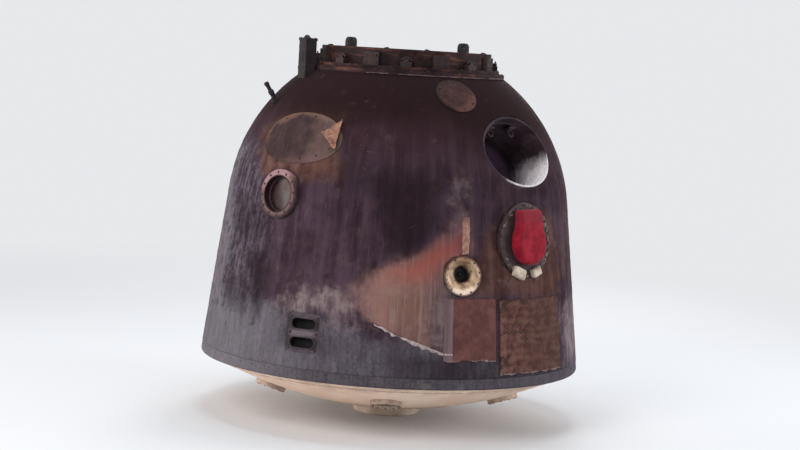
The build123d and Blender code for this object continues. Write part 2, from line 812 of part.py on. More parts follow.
# Antenna stub on a round foot
stub_seat = surface_plane(stub_azimuth, top_height - stub_drop)
stub_lean = radial(stub_azimuth) * cos(radians(stub_elevation)) + Vector(0, 0, sin(radians(stub_elevation)))
with BuildPart() as stub:
    with BuildSketch(stub_seat.offset(-stub_foot_height)):
        Circle(stub_foot_radius)
    extrude(amount=2 * stub_foot_height)
    with BuildSketch(Plane(stub_seat.origin, z_dir=stub_lean)):
        Circle(stub_radius)
    extrude(amount=stub_length)
    add(bell_clear, mode=Mode.SUBTRACT)
write(stub, "antenna_stub")


def turned_corner(before, corner, after, distance):
    """Where a bent line's corner lies once the line has moved sideways by distance."""
    way_in = (Vector(*corner) - Vector(*before)).normalized()
    way_out = (Vector(*after) - Vector(*corner)).normalized()
    half_turn = (way_in + way_out).normalized()
    side = Vector(half_turn.Y, -half_turn.X)
    return Vector(*corner) + side * (distance / side.dot(Vector(way_in.Y, -way_in.X)))


def fan_outline(plane, margin):
    """The tapered plan of one couch, drawn in by margin at its sides."""
    head, foot_end = couch_head[0], couch_heel[0]
    half_foot, half_head = couch_foot_width / 2 - margin, couch_head_width / 2 - margin
    with BuildSketch(plane) as plan:
        Polygon(
            (foot_end, -half_foot),
            (head - margin, -half_head),
            (head - margin, half_head),
            (foot_end, half_foot),
            align=None,
        )
    return plan.sketch


# Couches: bent pans on legs with a pad on each, fanned about a point beyond the feet
hip_under = turned_corner(couch_head, couch_hip, couch_knee, -couch_shell)
knee_under = turned_corner(couch_hip, couch_knee, couch_heel, -couch_shell)
pad_low_hip = turned_corner(couch_head, couch_hip, couch_knee, gap)
pad_high_hip = turned_corner(couch_head, couch_hip, couch_knee, couch_pad_thickness)
back_run = Vector(*couch_head) - Vector(*couch_hip)
thigh_run = Vector(*couch_knee) - Vector(*couch_hip)
pad_thigh_run = thigh_run - thigh_run.normalized() * couch_pad_margin
pad_lap_run = pad_thigh_run - thigh_run.normalized() * couch_pad_thickness
pan_corners = [
    Vector(*couch_head),
    Vector(*couch_hip),
    Vector(*couch_knee),
    Vector(*couch_heel),
    Vector(*couch_heel) + knee_under - Vector(*couch_knee),
    knee_under,
    hip_under,
    hip_under + back_run,
]
pad_corners = [
    pad_low_hip,
    pad_low_hip + back_run,
    pad_high_hip + back_run,
    pad_high_hip,
    pad_high_hip + pad_lap_run,
    pad_low_hip + pad_thigh_run,
]
back_slope = back_run.Y / back_run.X
for name, angle in couch_angles.items():
    fan = Plane((0, -couch_fan_radius, rim_z), x_dir=radial(180 + angle), z_dir=(0, 0, 1))
    upright = Plane(fan.origin, x_dir=fan.x_dir, z_dir=fan.x_dir.cross(fan.z_dir))
    with BuildPart() as couch:
        with BuildSketch(upright):
            Polygon(*[(corner.X, corner.Y) for corner in pan_corners], align=None)
        extrude(amount=couch_head_width / 2, both=True)
        for place in couch_leg_places:
            leg_top = hip_under.Y + (place - hip_under.X) * back_slope + couch_leg_sink
            with BuildSketch(fan.offset(floor_top)):
                with Locations((place, 0)):
                    Rectangle(couch_leg_length, couch_leg_width)
            extrude(amount=leg_top - floor_top)
        extrude(fan_outline(fan, 0), amount=rim_radius, mode=Mode.INTERSECT)
    write(couch, f"couch_{name}")
    with BuildPart() as pad:
        with BuildSketch(upright):
            Polygon(*[(corner.X, corner.Y) for corner in pad_corners], align=None)
        extrude(amount=couch_head_width / 2, both=True)
        extrude(fan_outline(fan, couch_pad_margin), amount=rim_radius, mode=Mode.INTERSECT)
    write(pad, f"couch_pad_{name}")

# Instrument panel, and the brackets that carry it from the wall
panel_frame = Plane(
    (0, panel_place[0], rim_z + panel_place[1]),
    x_dir=(1, 0, 0),
    z_dir=(0, cos(radians(panel_tilt)), -sin(radians(panel_tilt))),
)
with BuildPart() as instruments:
    with BuildSketch(panel_frame):
        RectangleRounded(panel_size[0], panel_size[2], panel_size[1] / 3)
    extrude(amount=panel_size[1] / 2, both=True)
write(instruments, "instrument_panel")
with BuildPart() as brackets:
    with BuildSketch(panel_frame.offset(-panel_size[1] / 2)):
        with GridLocations(2 * bracket_offset, 0, 2, 1):
            Rectangle(*bracket_size)
    extrude(amount=-rim_radius)
    add(cavity_clear, mode=Mode.INTERSECT)
write(brackets, "panel_brackets")
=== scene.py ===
"""A landed crew capsule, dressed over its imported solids. Metres, +Z up, the hatch on top.

Azimuth runs from the -Y side, positive towards +X. Heights are measured up from the rim plane.
"""
import random
from math import asin, atan2, cos, degrees, hypot, pi, radians, sin, sqrt, tan

import bmesh
import bpy
from mathutils import Matrix, Vector, noise
from mathutils.bvhtree import BVHTree


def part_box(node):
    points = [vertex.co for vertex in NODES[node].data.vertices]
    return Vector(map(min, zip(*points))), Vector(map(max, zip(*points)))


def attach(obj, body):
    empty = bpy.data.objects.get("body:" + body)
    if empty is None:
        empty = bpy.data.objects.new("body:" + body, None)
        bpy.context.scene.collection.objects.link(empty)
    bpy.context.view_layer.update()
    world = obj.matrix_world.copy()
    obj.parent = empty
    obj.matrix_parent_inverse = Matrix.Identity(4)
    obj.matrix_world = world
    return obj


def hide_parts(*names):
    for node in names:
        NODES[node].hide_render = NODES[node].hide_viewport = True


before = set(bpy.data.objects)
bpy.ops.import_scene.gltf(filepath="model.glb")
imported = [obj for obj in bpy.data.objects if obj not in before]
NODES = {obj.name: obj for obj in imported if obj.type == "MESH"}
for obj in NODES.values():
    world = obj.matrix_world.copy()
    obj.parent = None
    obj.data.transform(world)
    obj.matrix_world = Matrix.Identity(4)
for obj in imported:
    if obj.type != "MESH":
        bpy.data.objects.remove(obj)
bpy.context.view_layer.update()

HULL, HATCH, CAP = "hull", "hatch", "cap"

# The bell's outline, as the solids have it
RIM_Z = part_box("base_ring")[0].z
RIM_RADIUS = 1.1
CONE = radians(7.0)
SPHERE_HEIGHT = 0.85
SPHERE_RADIUS = (RIM_RADIUS - SPHERE_HEIGHT * tan(CONE)) * cos(CONE)
TANGENT_HEIGHT = SPHERE_HEIGHT + SPHERE_RADIUS * sin(CONE)
RING_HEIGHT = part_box("side_wall")[0].z - RIM_Z
TOP_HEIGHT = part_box("upper_shell")[1].z - RIM_Z

# The ring round the hatch
FLANGE_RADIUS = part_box("hatch_coaming")[1].x
STEP_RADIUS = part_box("docking_collar")[1].x
COLLAR_RADIUS = FLANGE_RADIUS - 0.08
COLLAR_WALL = 0.065
COLLAR_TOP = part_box("docking_collar")[1].z
FLANGE_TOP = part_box("docking_collar")[0].z
STEP_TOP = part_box("lock_pads")[0].z
LID_TOP = RIM_Z + TOP_HEIGHT - 0.0003
LID_THICKNESS = 0.04
DISH_DEPTH = 0.018
WHEEL_HEIGHT = LID_TOP - LID_THICKNESS - 0.034

# Places of the fittings: azimuth in degrees, height in metres
WINDOWS = [("left", -41.2, 0.978), ("rear", 139.0, 0.978)]
WINDOW_RADIUS = 0.135
WINDOW_STAND = 0.02
SCOPE = (45.0, 0.8)
SCOPE_RADIUS = 0.205
SCOPE_STAND = 0.004
SCOPE_BARREL = 0.09
SCOPE_BARREL_STAND = 0.045
NOZZLES = [("front", 21.0, 0.611), ("rear", -159.0, 0.611)]
NOZZLE_RADIUS = 0.107
NOZZLE_STAND = 0.014
THRUSTERS = [("left", -26.1, 0.252), ("right", 153.9, 0.252)]
THRUSTER_SIZE = (0.19, 0.214, 0.028)
SLOT_SIZE = (0.145, 0.055)
SLOT_PITCH = 0.102
WELL = (48.0, 1.285)
WELL_HALF = (0.272, 0.208)
RESERVE = (-39.0, 1.29)
RESERVE_HALF = (0.275, 0.15)
RESERVE_STAND = 0.006
FLAP_CORNERS = [(-29.5, 1.321), (-22.6, 1.394), (-22.2, 1.229)]
VENTS = [("front", 24.8, TOP_HEIGHT - 0.1), ("rear", -155.2, TOP_HEIGHT - 0.1)]
VENT_RADIUS = 0.118
VENT_STAND = 0.01
RACEWAY = (22.0, 0.829)
SMOOTH_PANEL = (15.4, 32.3, 0.15, 0.49)
RIBBED_PANEL = (33.8, 61.5, 0.075, 0.482)
PANEL_STAND = 0.0093
RIB_COUNT = 9
RIB_RISE = 0.005
UMBILICAL = (-132.0, 0.29)
UMBILICAL_SIZE = (0.4, 0.23, 0.03)
UMBILICAL_STAND = 0.006
PLUG_MARGIN = 0.066
PLUG_PITCH = (UMBILICAL_SIZE[0] - 2 * PLUG_MARGIN) / 3, UMBILICAL_SIZE[1] - 2 * PLUG_MARGIN
POST_AZIMUTH = -68.0
POST_SIZE = (0.068, 0.12)
POST_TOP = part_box("beacon_post")[1].z
STUB_AZIMUTH = -69.0
STUB_LEAN = radians(57.0)
DOME_RADIUS = 2.235
DOME_BOTTOM = 0.055
DOME_CENTRE = Vector((0.0, 0.0, DOME_BOTTOM + DOME_RADIUS))
ENGINE_CIRCLE = 0.76
ENGINE_STAND = 0.022
ENGINE_RECESS = 0.014
CLEARANCE = 0.002
HARNESS_RADIUS = 0.378
UP = Vector((0.0, 0.0, 1.0))


def outline_radius(height):
    """The bell's outer radius at a height."""
    if height < TANGENT_HEIGHT:
        return RIM_RADIUS - height * tan(CONE)
    return sqrt(max(0.0, SPHERE_RADIUS**2 - (height - SPHERE_HEIGHT) ** 2))


def radial(azimuth):
    """The level direction away from the axis at an azimuth."""
    turn = radians(azimuth)
    return Vector((sin(turn), -cos(turn), 0.0))


def level_at(azimuth):
    """The level direction along the wall, towards a greater azimuth."""
    return Vector((cos(radians(azimuth)), sin(radians(azimuth)), 0.0))


def outward(azimuth, reach, height):
    """A point at an azimuth, a distance from the axis and a height."""
    return radial(azimuth) * reach + Vector((0.0, 0.0, height))


def polar(reach, turn, height=0.0):
    """A point of a fitting's frame at a distance from its axis and a turn."""
    return Vector((reach * cos(turn), reach * sin(turn), height))


def shares(count):
    """Evenly spaced shares from 0 to 1, with both ends."""
    return [step / count for step in range(count + 1)]


def turns_of(count):
    """Angles spaced evenly round a circle."""
    return [2 * pi * index / count for index in range(count)]


def surface_normal(azimuth, height):
    """The direction out of the bell at a place of its surface."""
    rise = CONE
    if height > TANGENT_HEIGHT:
        rise = asin(min(1.0, (height - SPHERE_HEIGHT) / SPHERE_RADIUS))
    return outward(azimuth, cos(rise), sin(rise))


def surface_point(azimuth, height, lift=0.0):
    """A point at a lift over a place of the bell's surface."""
    base = outward(azimuth, outline_radius(height), RIM_Z + height)
    return base + surface_normal(azimuth, height) * lift


def frame_at(origin, normal, level):
    """A matrix whose z is the normal and whose x is level."""
    normal = normal.normalized()
    level = (level - normal * level.dot(normal)).normalized()
    turn = Matrix((level, normal.cross(level), normal)).transposed().to_4x4()
    return Matrix.Translation(origin) @ turn


def surface_frame(azimuth, height, lift=0.0):
    """A matrix whose x is level, y up the bell and z outwards, at a point of the surface."""
    point = surface_point(azimuth, height, lift)
    return frame_at(point, surface_normal(azimuth, height), level_at(azimuth))


def place_of(point):
    """The azimuth and height of the surface under a point."""
    return degrees(atan2(point.x, -point.y)), point.z - RIM_Z


def onto_bell(point, lift=0.0):
    """The point of the bell under or over another, at a lift."""
    azimuth, height = place_of(point)
    return surface_point(azimuth, height, lift)


def band(value, low, high):
    """0 below low, 1 above high, smooth between."""
    share = min(1.0, max(0.0, (value - low) / (high - low)))
    return share * share * (3 - 2 * share)


def wear_at(place, roughness=0.6):
    """Fractal noise in four octaves."""
    return noise.fractal(place, roughness, 2.1, 4)


def turn_between(azimuth, centre):
    """The signed angle from centre to azimuth, in degrees."""
    return (azimuth - centre + 180.0) % 360.0 - 180.0


def srgb(red, green, blue):
    """A colour given in the 0 to 255 of a display, as linear values."""
    linear = []
    for value in (red, green, blue):
        share = value / 255.0
        linear.append(share / 12.92 if share <= 0.04045 else ((share + 0.055) / 1.055) ** 2.4)
    return (*linear, 1.0)


class Graph:
    """A material's node tree, built by short calls that return sockets."""

    def __init__(self, name):
        self.material = bpy.data.materials.new(name)
        self.material.use_nodes = True
        self.tree = self.material.node_tree
        self.tree.nodes.clear()
        self.output = self.node("OutputMaterial")
        self.shader = self.node("BsdfPrincipled")
        self.tree.links.new(self.shader.outputs[0], self.output.inputs["Surface"])
        self.position = self.node("TexCoord").outputs["Object"]
        self.normal = None
        self.colour = None

    def node(self, kind):
        return self.tree.nodes.new(f"ShaderNode{kind}")

    def put(self, socket, value):
        if isinstance(value, bpy.types.NodeSocket):
            self.tree.links.new(value, socket)
        else:
            socket.default_value = value

    def math(self, operation, first, second=None, clamp=False):
        node = self.node("Math")
        node.operation, node.use_clamp = operation, clamp
        self.put(node.inputs[0], first)
        if second is not None:
            self.put(node.inputs[1], second)
        return node.outputs[0]

    def add(self, first, second):
        return self.math("ADD", first, second)

    def mul(self, first, second):
        return self.math("MULTIPLY", first, second)

    def most(self, first, second):
        return self.math("MAXIMUM", first, second)

    def size(self, value):
        return self.math("ABSOLUTE", value)

    def swing(self, value, reach):
        """A noise moved to lie about 0, times a reach."""
        return self.mul(self.add(value, -0.5), reach)

    def ramp(self, value, low, high, to_low=0.0, to_high=1.0):
        """A smooth step of a value, from to_low at low to to_high at high."""
        node = self.node("MapRange")
        node.interpolation_type = "SMOOTHSTEP"
        for socket, entry in zip(node.inputs, (value, low, high, to_low, to_high)):
            self.put(socket, entry)
        return node.outputs[0]

    def mix(self, factor, first, second):
        """Two colours mixed; a plain colour is given in the 0 to 255 of a display."""
        node = self.node("Mix")
        node.data_type = "RGBA"
        self.put(node.inputs["Factor"], factor)
        for socket, colour in zip(node.inputs[6:8], (first, second)):
            self.put(socket, srgb(*colour) if isinstance(colour, tuple) else colour)
        return node.outputs[2]

    def blend(self, value, low, high, first, second, at_high=1.0, at_low=0.0):
        """One colour where a value is low and another where it is high."""
        return self.mix(self.ramp(value, low, high, at_low, at_high), first, second)

    def cover(self, share, over):
        """Covers a share of the material's colour with another."""
        self.colour = self.mix(share, self.colour, over)

    def lay(self, value, low, high, over, at_high=1.0, at_low=0.0):
        """Lays a colour over the material's, in the shares of a ramp."""
        self.cover(self.ramp(value, low, high, at_low, at_high), over)

    def vector(self, operation, first, second, third=None):
        node = self.node("VectorMath")
        node.operation = operation
        for socket, entry in zip(node.inputs, (first, second, third)):
            if entry is not None:
                self.put(socket, entry)
        return node.outputs["Value" if operation == "DOT_PRODUCT" else 0]

    def stretched(self, x, y, z):
        """The position with each axis multiplied."""
        return self.vector("MULTIPLY", self.position, (x, y, z))

    def around(self, turns, heights):
        """Coordinates along the capsule's meridians: turns per radian of azimuth, heights per metre."""
        unit = self.vector("NORMALIZE", self.stretched(1.0, 1.0, 0.0), None)
        return self.vector("MULTIPLY_ADD", unit, (turns, turns, 0.0), self.stretched(0.0, 0.0, heights))

    def local(self, matrix):
        """The position along the three axes of a fitting's frame."""
        offset = self.vector("SUBTRACT", self.position, tuple(matrix.translation))
        axes = matrix.to_3x3().transposed()
        return [self.vector("DOT_PRODUCT", offset, tuple(axis)) for axis in axes]

    def distance(self, x, y):
        return self.math("SQRT", self.add(self.mul(x, x), self.mul(y, y)))

    def texture(self, kind, **values):
        """A texture's grey output, its inputs given by their names."""
        node = self.node(f"Tex{kind}")
        for name, value in values.items():
            self.put(node.inputs[name], value)
        return node.outputs["Fac"]

    def noise(self, scale, detail=4.0, roughness=0.55, vector=None, distortion=0.0):
        vector = self.position if vector is None else vector
        return self.texture("Noise", Vector=vector, Scale=scale, Detail=detail, Roughness=roughness,
                            Distortion=distortion)

    def split(self):
        """The three coordinates of the position."""
        node = self.node("SeparateXYZ")
        self.put(node.inputs[0], self.position)
        return node.outputs

    def joined(self, x, y, z):
        node = self.node("CombineXYZ")
        for socket, entry in zip(node.inputs, (x, y, z)):
            self.put(socket, entry)
        return node.outputs[0]

    def attribute(self, name):
        node = self.node("Attribute")
        node.attribute_name = name
        return node.outputs["Fac"]

    def edges(self, low=0.52, high=0.62):
        """1 along convex edges, 0 on flats."""
        node = self.node("NewGeometry")
        return self.ramp(node.outputs["Pointiness"], low, high)

    def bump(self, height, distance, strength=1.0):
        """Adds a layer of bump on those that are there."""
        node = self.node("Bump")
        for name, value in (("Strength", strength), ("Distance", distance), ("Height", height)):
            self.put(node.inputs[name], value)
        if self.normal is not None:
            self.put(node.inputs["Normal"], self.normal)
        self.normal = node.outputs[0]

    def finish(self, roughness, metallic=0.0, **sockets):
        self.put(self.shader.inputs["Base Color"], self.colour)
        self.put(self.shader.inputs["Roughness"], roughness)
        self.shader.inputs["Metallic"].default_value = metallic
        for name, value in sockets.items():
            self.put(self.shader.inputs[name.replace("_", " ")], value)
        if self.normal is not None:
            self.put(self.shader.inputs["Normal"], self.normal)
        return self.material


# Materials. Their colours are written as a display shows them, 0 to 255

SOOT = (25, 13, 16)
MASKS = ("soot", "ember", "ash_and_rim_light", "char", "blush", "rust", "glow", "relief")


def coat_material():
    """The heat-proof coat: purple brown under soot, with charred flecks, ashes, a painted rim light on the
    flanks, and burnt orange.
    """
    g = Graph("coat")
    soot, ember, ash_and_rim_light, char, blush, rust, glow, relief = (g.attribute(name) for name in MASKS)
    fine = g.noise(62.0, 3.0, 0.7)
    blot = g.noise(31.0, 3.0, 0.6)
    mid = g.noise(13.0, 4.0, 0.62)
    cloud = g.noise(4.6, 4.0, 0.62)
    streak = g.noise(1.0, 4.0, 0.6, g.around(15.0, 1.5))
    drip = g.noise(1.0, 3.0, 0.65, g.around(34.0, 7.0))
    thin_streak = g.noise(1.0, 3.0, 0.7, g.around(60.0, 2.4))
    speck = g.add(g.swing(blot, 0.4), g.swing(mid, 0.55))
    run = g.add(g.mul(streak, 0.5), g.mul(cloud, 0.5))
    g.colour = g.blend(run, 0.4, 0.6, (44, 29, 37), (68, 51, 62))
    g.lay(mid, 0.45, 0.7, (80, 60, 62), 0.35)
    g.lay(thin_streak, 0.56, 0.76, (92, 76, 86), 0.25)
    g.lay(drip, 0.56, 0.72, (84, 72, 80), 0.4)
    x, _, z = g.split()
    g.lay(g.add(z, g.mul(cloud, 0.3)), RIM_Z + 1.1, RIM_Z + 1.6, (54, 33, 37), 0.6)
    brown = g.blend(run, 0.4, 0.6, (64, 41, 38), (90, 63, 55))
    brown = g.blend(mid, 0.5, 0.7, brown, (104, 80, 74), 0.5)
    g.lay(g.add(rust, speck), 0.1, 0.9, brown)
    flecks = g.add(g.mul(drip, 0.6), g.add(g.mul(blot, 0.25), g.mul(fine, 0.15)))
    speckle = g.blend(flecks, 0.42, 0.6, (46, 37, 44), (84, 74, 83))
    g.lay(g.add(char, speck), 0.1, 0.95, speckle, 0.9)
    grey = g.blend(g.add(g.mul(fine, 0.4), g.mul(drip, 0.6)), 0.36, 0.64, (68, 62, 69), (93, 87, 96))
    grey = g.blend(streak, 0.42, 0.66, grey, (64, 55, 62), 0.5)
    grey = g.blend(mid, 0.55, 0.75, grey, (110, 102, 107), 0.35)
    # Painted rim light: this grey paler towards the left edge.
    grey = g.blend(g.add(x, g.mul(mid, -0.4)), -1.1, -0.45, grey, (118, 114, 118), 0.0, 0.3)
    g.lay(g.add(ash_and_rim_light, speck), 0.15, 0.85, grey)
    pale = g.blend(g.add(g.mul(mid, 0.5), g.mul(drip, 0.5)), 0.4, 0.6, (90, 74, 80), (130, 114, 114))
    g.lay(g.add(blush, g.mul(speck, 1.4)), 0.1, 1.0, pale, 0.85)
    place = g.add(x, g.mul(cloud, 0.25))
    orange = g.blend(place, -0.05, 0.3, (138, 102, 96), (112, 82, 74))
    orange = g.blend(place, 0.26, 0.48, orange, (100, 82, 86))
    orange = g.blend(mid, 0.46, 0.7, orange, (136, 112, 104), 0.45)
    orange = g.blend(streak, 0.46, 0.66, orange, (90, 68, 68), 0.65)
    orange = g.blend(drip, 0.54, 0.72, orange, (82, 58, 56), 0.5)
    orange = g.blend(thin_streak, 0.5, 0.68, orange, (142, 120, 112), 0.5)
    g.lay(g.add(ember, g.mul(speck, 0.9)), 0.05, 0.95, orange)
    shade = g.add(soot, g.swing(cloud, 0.6))
    black = g.blend(z, RIM_Z + 1.15, RIM_Z + 1.45, (30, 19, 25), (27, 12, 14))
    g.lay(shade, 0.0, 1.0, black, 0.94)
    stain = g.ramp(mid, 0.62, 0.74, 0.0, 0.35)
    g.cover(g.mul(stain, soot), (78, 50, 44))
    hot = g.blend(g.add(z, g.mul(cloud, 0.2)), RIM_Z + 0.68, RIM_Z + 0.92, (152, 82, 74), (122, 56, 52))
    g.lay(g.add(glow, g.mul(speck, 0.6)), 0.05, 1.0, hot, 0.78)
    # Painted shade: darker in the hollows of the relief; the raised flecks paler.
    g.lay(relief, 0.12, 0.42, (22, 15, 17), 0.0, 0.5)
    g.lay(relief, 0.7, 0.95, (112, 102, 106), 0.25)
    g.bump(mid, 0.004, 0.5)
    g.bump(fine, 0.0026, 0.6)
    return g.finish(0.92, Specular_IOR_Level=0.08)


def scorched(name, light, dark, scale=14.0, rough=(0.6, 0.85), metal=0.0, soot=0.5, relief=0.0006,
             worn=None):
    """A scorched surface: two colours mottled, soot over them, a grain, and worn edges."""
    g = Graph(name)
    mottle = g.noise(scale, 4.0, 0.62)
    grain = g.noise(scale * 14.0, 3.0, 0.7)
    g.colour = g.blend(mottle, 0.34, 0.66, dark, light)
    g.lay(grain, 0.58, 0.78, light, 0.4)
    deposit = g.noise(scale * 0.45, 4.0, 0.72)
    g.lay(deposit, 0.42, 0.72, SOOT, soot)
    if worn is not None:
        g.lay(g.noise(scale * 3.0, 4.0, 0.75), 0.6, 0.7, worn, 0.6)
    g.bump(mottle, relief * 2.0, 0.6)
    g.bump(grain, relief, 0.6)
    return g.finish(g.ramp(grain, 0.3, 0.7, *rough), metal, Specular_IOR_Level=0.3)


def base_material():
    """Dull cream paint with scuffs, a weld line, patchy darkening near the rim, runs of dirt, and painted
    shade on its right side.
    """
    g = Graph("base_paint")
    x, y, _ = g.split()
    reach = g.distance(x, y)
    mottle = g.noise(4.0, 4.0, 0.6)
    grain = g.noise(120.0, 2.0, 0.7)
    scuff = g.noise(1.0, 3.0, 0.75, g.stretched(9.0, 42.0, 9.0))
    g.colour = g.blend(mottle, 0.35, 0.65, (240, 206, 182), (253, 228, 204))
    # Painted shade: darker towards the right side.
    g.lay(g.add(x, g.mul(mottle, 0.6)), -0.3, 0.9, (204, 182, 166), 0.4)
    g.lay(scuff, 0.6, 0.72, (178, 152, 136), 0.4)
    # Patchy darkening towards the rim.
    rim_darkening = g.mul(g.ramp(reach, 0.86, 1.07), g.ramp(g.noise(9.0, 4.0, 0.7), 0.3, 0.65))
    g.cover(g.mul(rim_darkening, 0.6), (140, 116, 106))
    around = g.ramp(g.noise(22.0, 4.0, 0.75), 0.58, 0.72, 0.0, 0.6)
    g.cover(around, (204, 174, 154))
    weld = g.ramp(g.size(g.add(reach, -0.47)), 0.004, 0.009, 1.0, 0.0)
    g.cover(g.mul(weld, 0.5), (160, 140, 126))
    g.bump(weld, 0.003)
    g.bump(mottle, 0.004, 0.4)
    g.bump(grain, 0.0005, 0.5)
    return g.finish(g.ramp(mottle, 0.3, 0.7, 0.5, 0.68), Specular_IOR_Level=0.4)


def ring_material():
    """Blackened ring metal with orange brown heat streaks that run round it."""
    g = Graph("ring")
    run = g.noise(1.0, 5.0, 0.62, g.around(2.6, 46.0))
    mottle = g.noise(11.0, 4.0, 0.65)
    grain = g.noise(150.0, 2.0, 0.7)
    hot = g.blend(grain, 0.35, 0.65, (92, 50, 40), (124, 84, 66))
    g.colour = g.blend(mottle, 0.35, 0.65, (28, 16, 19), (52, 32, 34))
    g.cover(g.mul(g.ramp(run, 0.48, 0.66), g.ramp(mottle, 0.4, 0.62, 0.1, 0.7)), hot)
    g.bump(run, 0.0012, 0.6)
    g.bump(grain, 0.0005, 0.6)
    return g.finish(g.ramp(grain, 0.3, 0.7, 0.66, 0.85), 0.1, Specular_IOR_Level=0.15)


def rim_material():
    """The scorched frame at the widest point: grey, streaked and pitted, with a painted rim light on its
    left.
    """
    g = Graph("rim")
    streak = g.noise(1.0, 4.0, 0.7, g.around(70.0, 4.0))
    fine = g.noise(70.0, 3.0, 0.7)
    g.colour = g.blend(fine, 0.32, 0.68, (66, 60, 66), (80, 74, 81))
    g.lay(streak, 0.45, 0.72, (48, 40, 43), 0.7)
    g.lay(g.noise(7.0, 5.0), 0.52, 0.7, (110, 102, 104), 0.6)
    # Painted rim light: paler towards the left edge.
    g.lay(g.add(g.split()[0], g.mul(fine, -0.4)), -1.15, -0.5, (116, 112, 116), 0.0, 0.45)
    g.bump(fine, 0.0012, 0.6)
    return g.finish(0.82, 0.05, Specular_IOR_Level=0.15)


def window_frame_material(name, matrix):
    """Scorched alloy: a pinkish inner lip that widens into a hood above the pane, sooty elsewhere."""
    g = Graph(f"window_frame_{name}")
    x, y, _ = g.local(matrix)
    reach = g.distance(x, y)
    mottle = g.noise(26.0, 4.0, 0.65)
    grain = g.noise(260.0, 2.0, 0.7)
    g.colour = g.blend(mottle, 0.34, 0.66, (52, 36, 40), (74, 56, 60))
    lip = g.mul(g.ramp(reach, 0.103, 0.108),
                g.ramp(g.add(reach, g.mul(mottle, 0.02)), 0.124, 0.138, 1.0, 0.0))
    hood = g.mul(g.ramp(g.add(y, g.mul(x, -0.35)), 0.03, 0.1), g.ramp(reach, 0.1, 0.108))
    g.cover(g.mul(lip, 0.7), (108, 82, 80))
    g.cover(g.mul(hood, 0.85), (150, 114, 116))
    g.lay(reach, 0.1, 0.105, (34, 20, 22), 0.0, 0.9)
    g.lay(g.noise(9.0, 4.0, 0.7), 0.55, 0.72, (52, 36, 40), 0.5)
    g.bump(mottle, 0.001, 0.5)
    g.bump(grain, 0.0004, 0.5)
    return g.finish(g.ramp(grain, 0.3, 0.7, 0.7, 0.85), 0.1, Specular_IOR_Level=0.15)


def pane_material(name, matrix):
    """Smoked glass under a film of soot, browner to the left and below, with a painted reflection on its
    right half.
    """
    g = Graph(f"pane_{name}")
    x, y, _ = g.local(matrix)
    film = g.noise(14.0, 4.0, 0.7)
    g.colour = g.blend(film, 0.35, 0.68, (30, 14, 16), (48, 27, 28))
    # Painted reflection: the right half paler.
    painted_reflection = g.add(g.add(x, g.mul(y, 0.3)), g.mul(film, 0.06))
    g.lay(painted_reflection, 0.0, 0.05, (84, 70, 68), 0.85)
    g.lay(g.distance(x, y), 0.08, 0.1, (26, 16, 17), 0.8)
    g.bump(film, 0.0008, 0.3)
    return g.finish(g.ramp(film, 0.35, 0.7, 0.35, 0.6), Specular_IOR_Level=0.1)


def flange_material(matrix):
    """The periscope flange: scorched brown, with pale flakes of old sealant round its edge."""
    g = Graph("flange")
    x, y, _ = g.local(matrix)
    reach = g.distance(x, y)
    mottle = g.noise(24.0, 4.0, 0.7)
    flake = g.noise(48.0, 3.0, 0.75, distortion=0.8)
    grain = g.noise(260.0, 2.0, 0.7)
    g.colour = g.blend(mottle, 0.36, 0.64, (40, 26, 29), (58, 41, 43))
    edge = g.mul(g.ramp(reach, 0.165, 0.19), g.ramp(flake, 0.5, 0.62))
    g.cover(g.mul(edge, g.ramp(x, -0.08, 0.12, 0.03, 0.75)), (132, 108, 100))
    g.lay(reach, 0.1, 0.15, SOOT, 0.0, 0.75)
    g.bump(mottle, 0.0016, 0.6)
    g.bump(flake, 0.0018, 0.6)
    g.bump(grain, 0.0004, 0.5)
    return g.finish(g.ramp(grain, 0.3, 0.7, 0.6, 0.85), 0.1, Specular_IOR_Level=0.3)


def red_cloth_material():
    """Red coated cloth: a plain weave, faded on its folds, with scorch marks, and painted shade at the hem
    where it meets the flange.
    """
    g = Graph("red_cloth")
    x, y, z = g.local(surface_frame(*SCOPE))
    warp = g.math("SINE", g.mul(x, 2400.0))
    weft = g.math("SINE", g.mul(y, 2400.0))
    weave = g.add(g.mul(warp, 0.25), g.mul(weft, 0.25))
    fade = g.noise(16.0, 5.0, 0.6)
    thread = g.noise(1.0, 3.0, 0.6, g.joined(g.mul(x, 420.0), g.mul(y, 60.0), z))
    g.colour = g.blend(fade, 0.35, 0.68, (116, 10, 28), (148, 24, 44))
    g.lay(thread, 0.5, 0.72, (172, 56, 66), 0.2)
    g.cover(g.mul(g.edges(0.51, 0.58), 0.2), (184, 74, 82))
    g.lay(y, 0.06, 0.13, (112, 40, 50), 0.55)
    g.lay(g.noise(30.0, 3.0, 0.75), 0.62, 0.74, (84, 22, 28), 0.5)
    # Painted shade: darker towards the hem, where the cap meets the flange.
    g.lay(z, 0.004, 0.018, (74, 26, 28), 0.0, 0.75)
    g.bump(g.noise(38.0, 4.0, 0.55), 0.003, 0.6)
    g.bump(weave, 0.0005, 0.8)
    return g.finish(0.8, Sheen_Weight=0.03, Sheen_Roughness=0.5, Specular_IOR_Level=0.12)


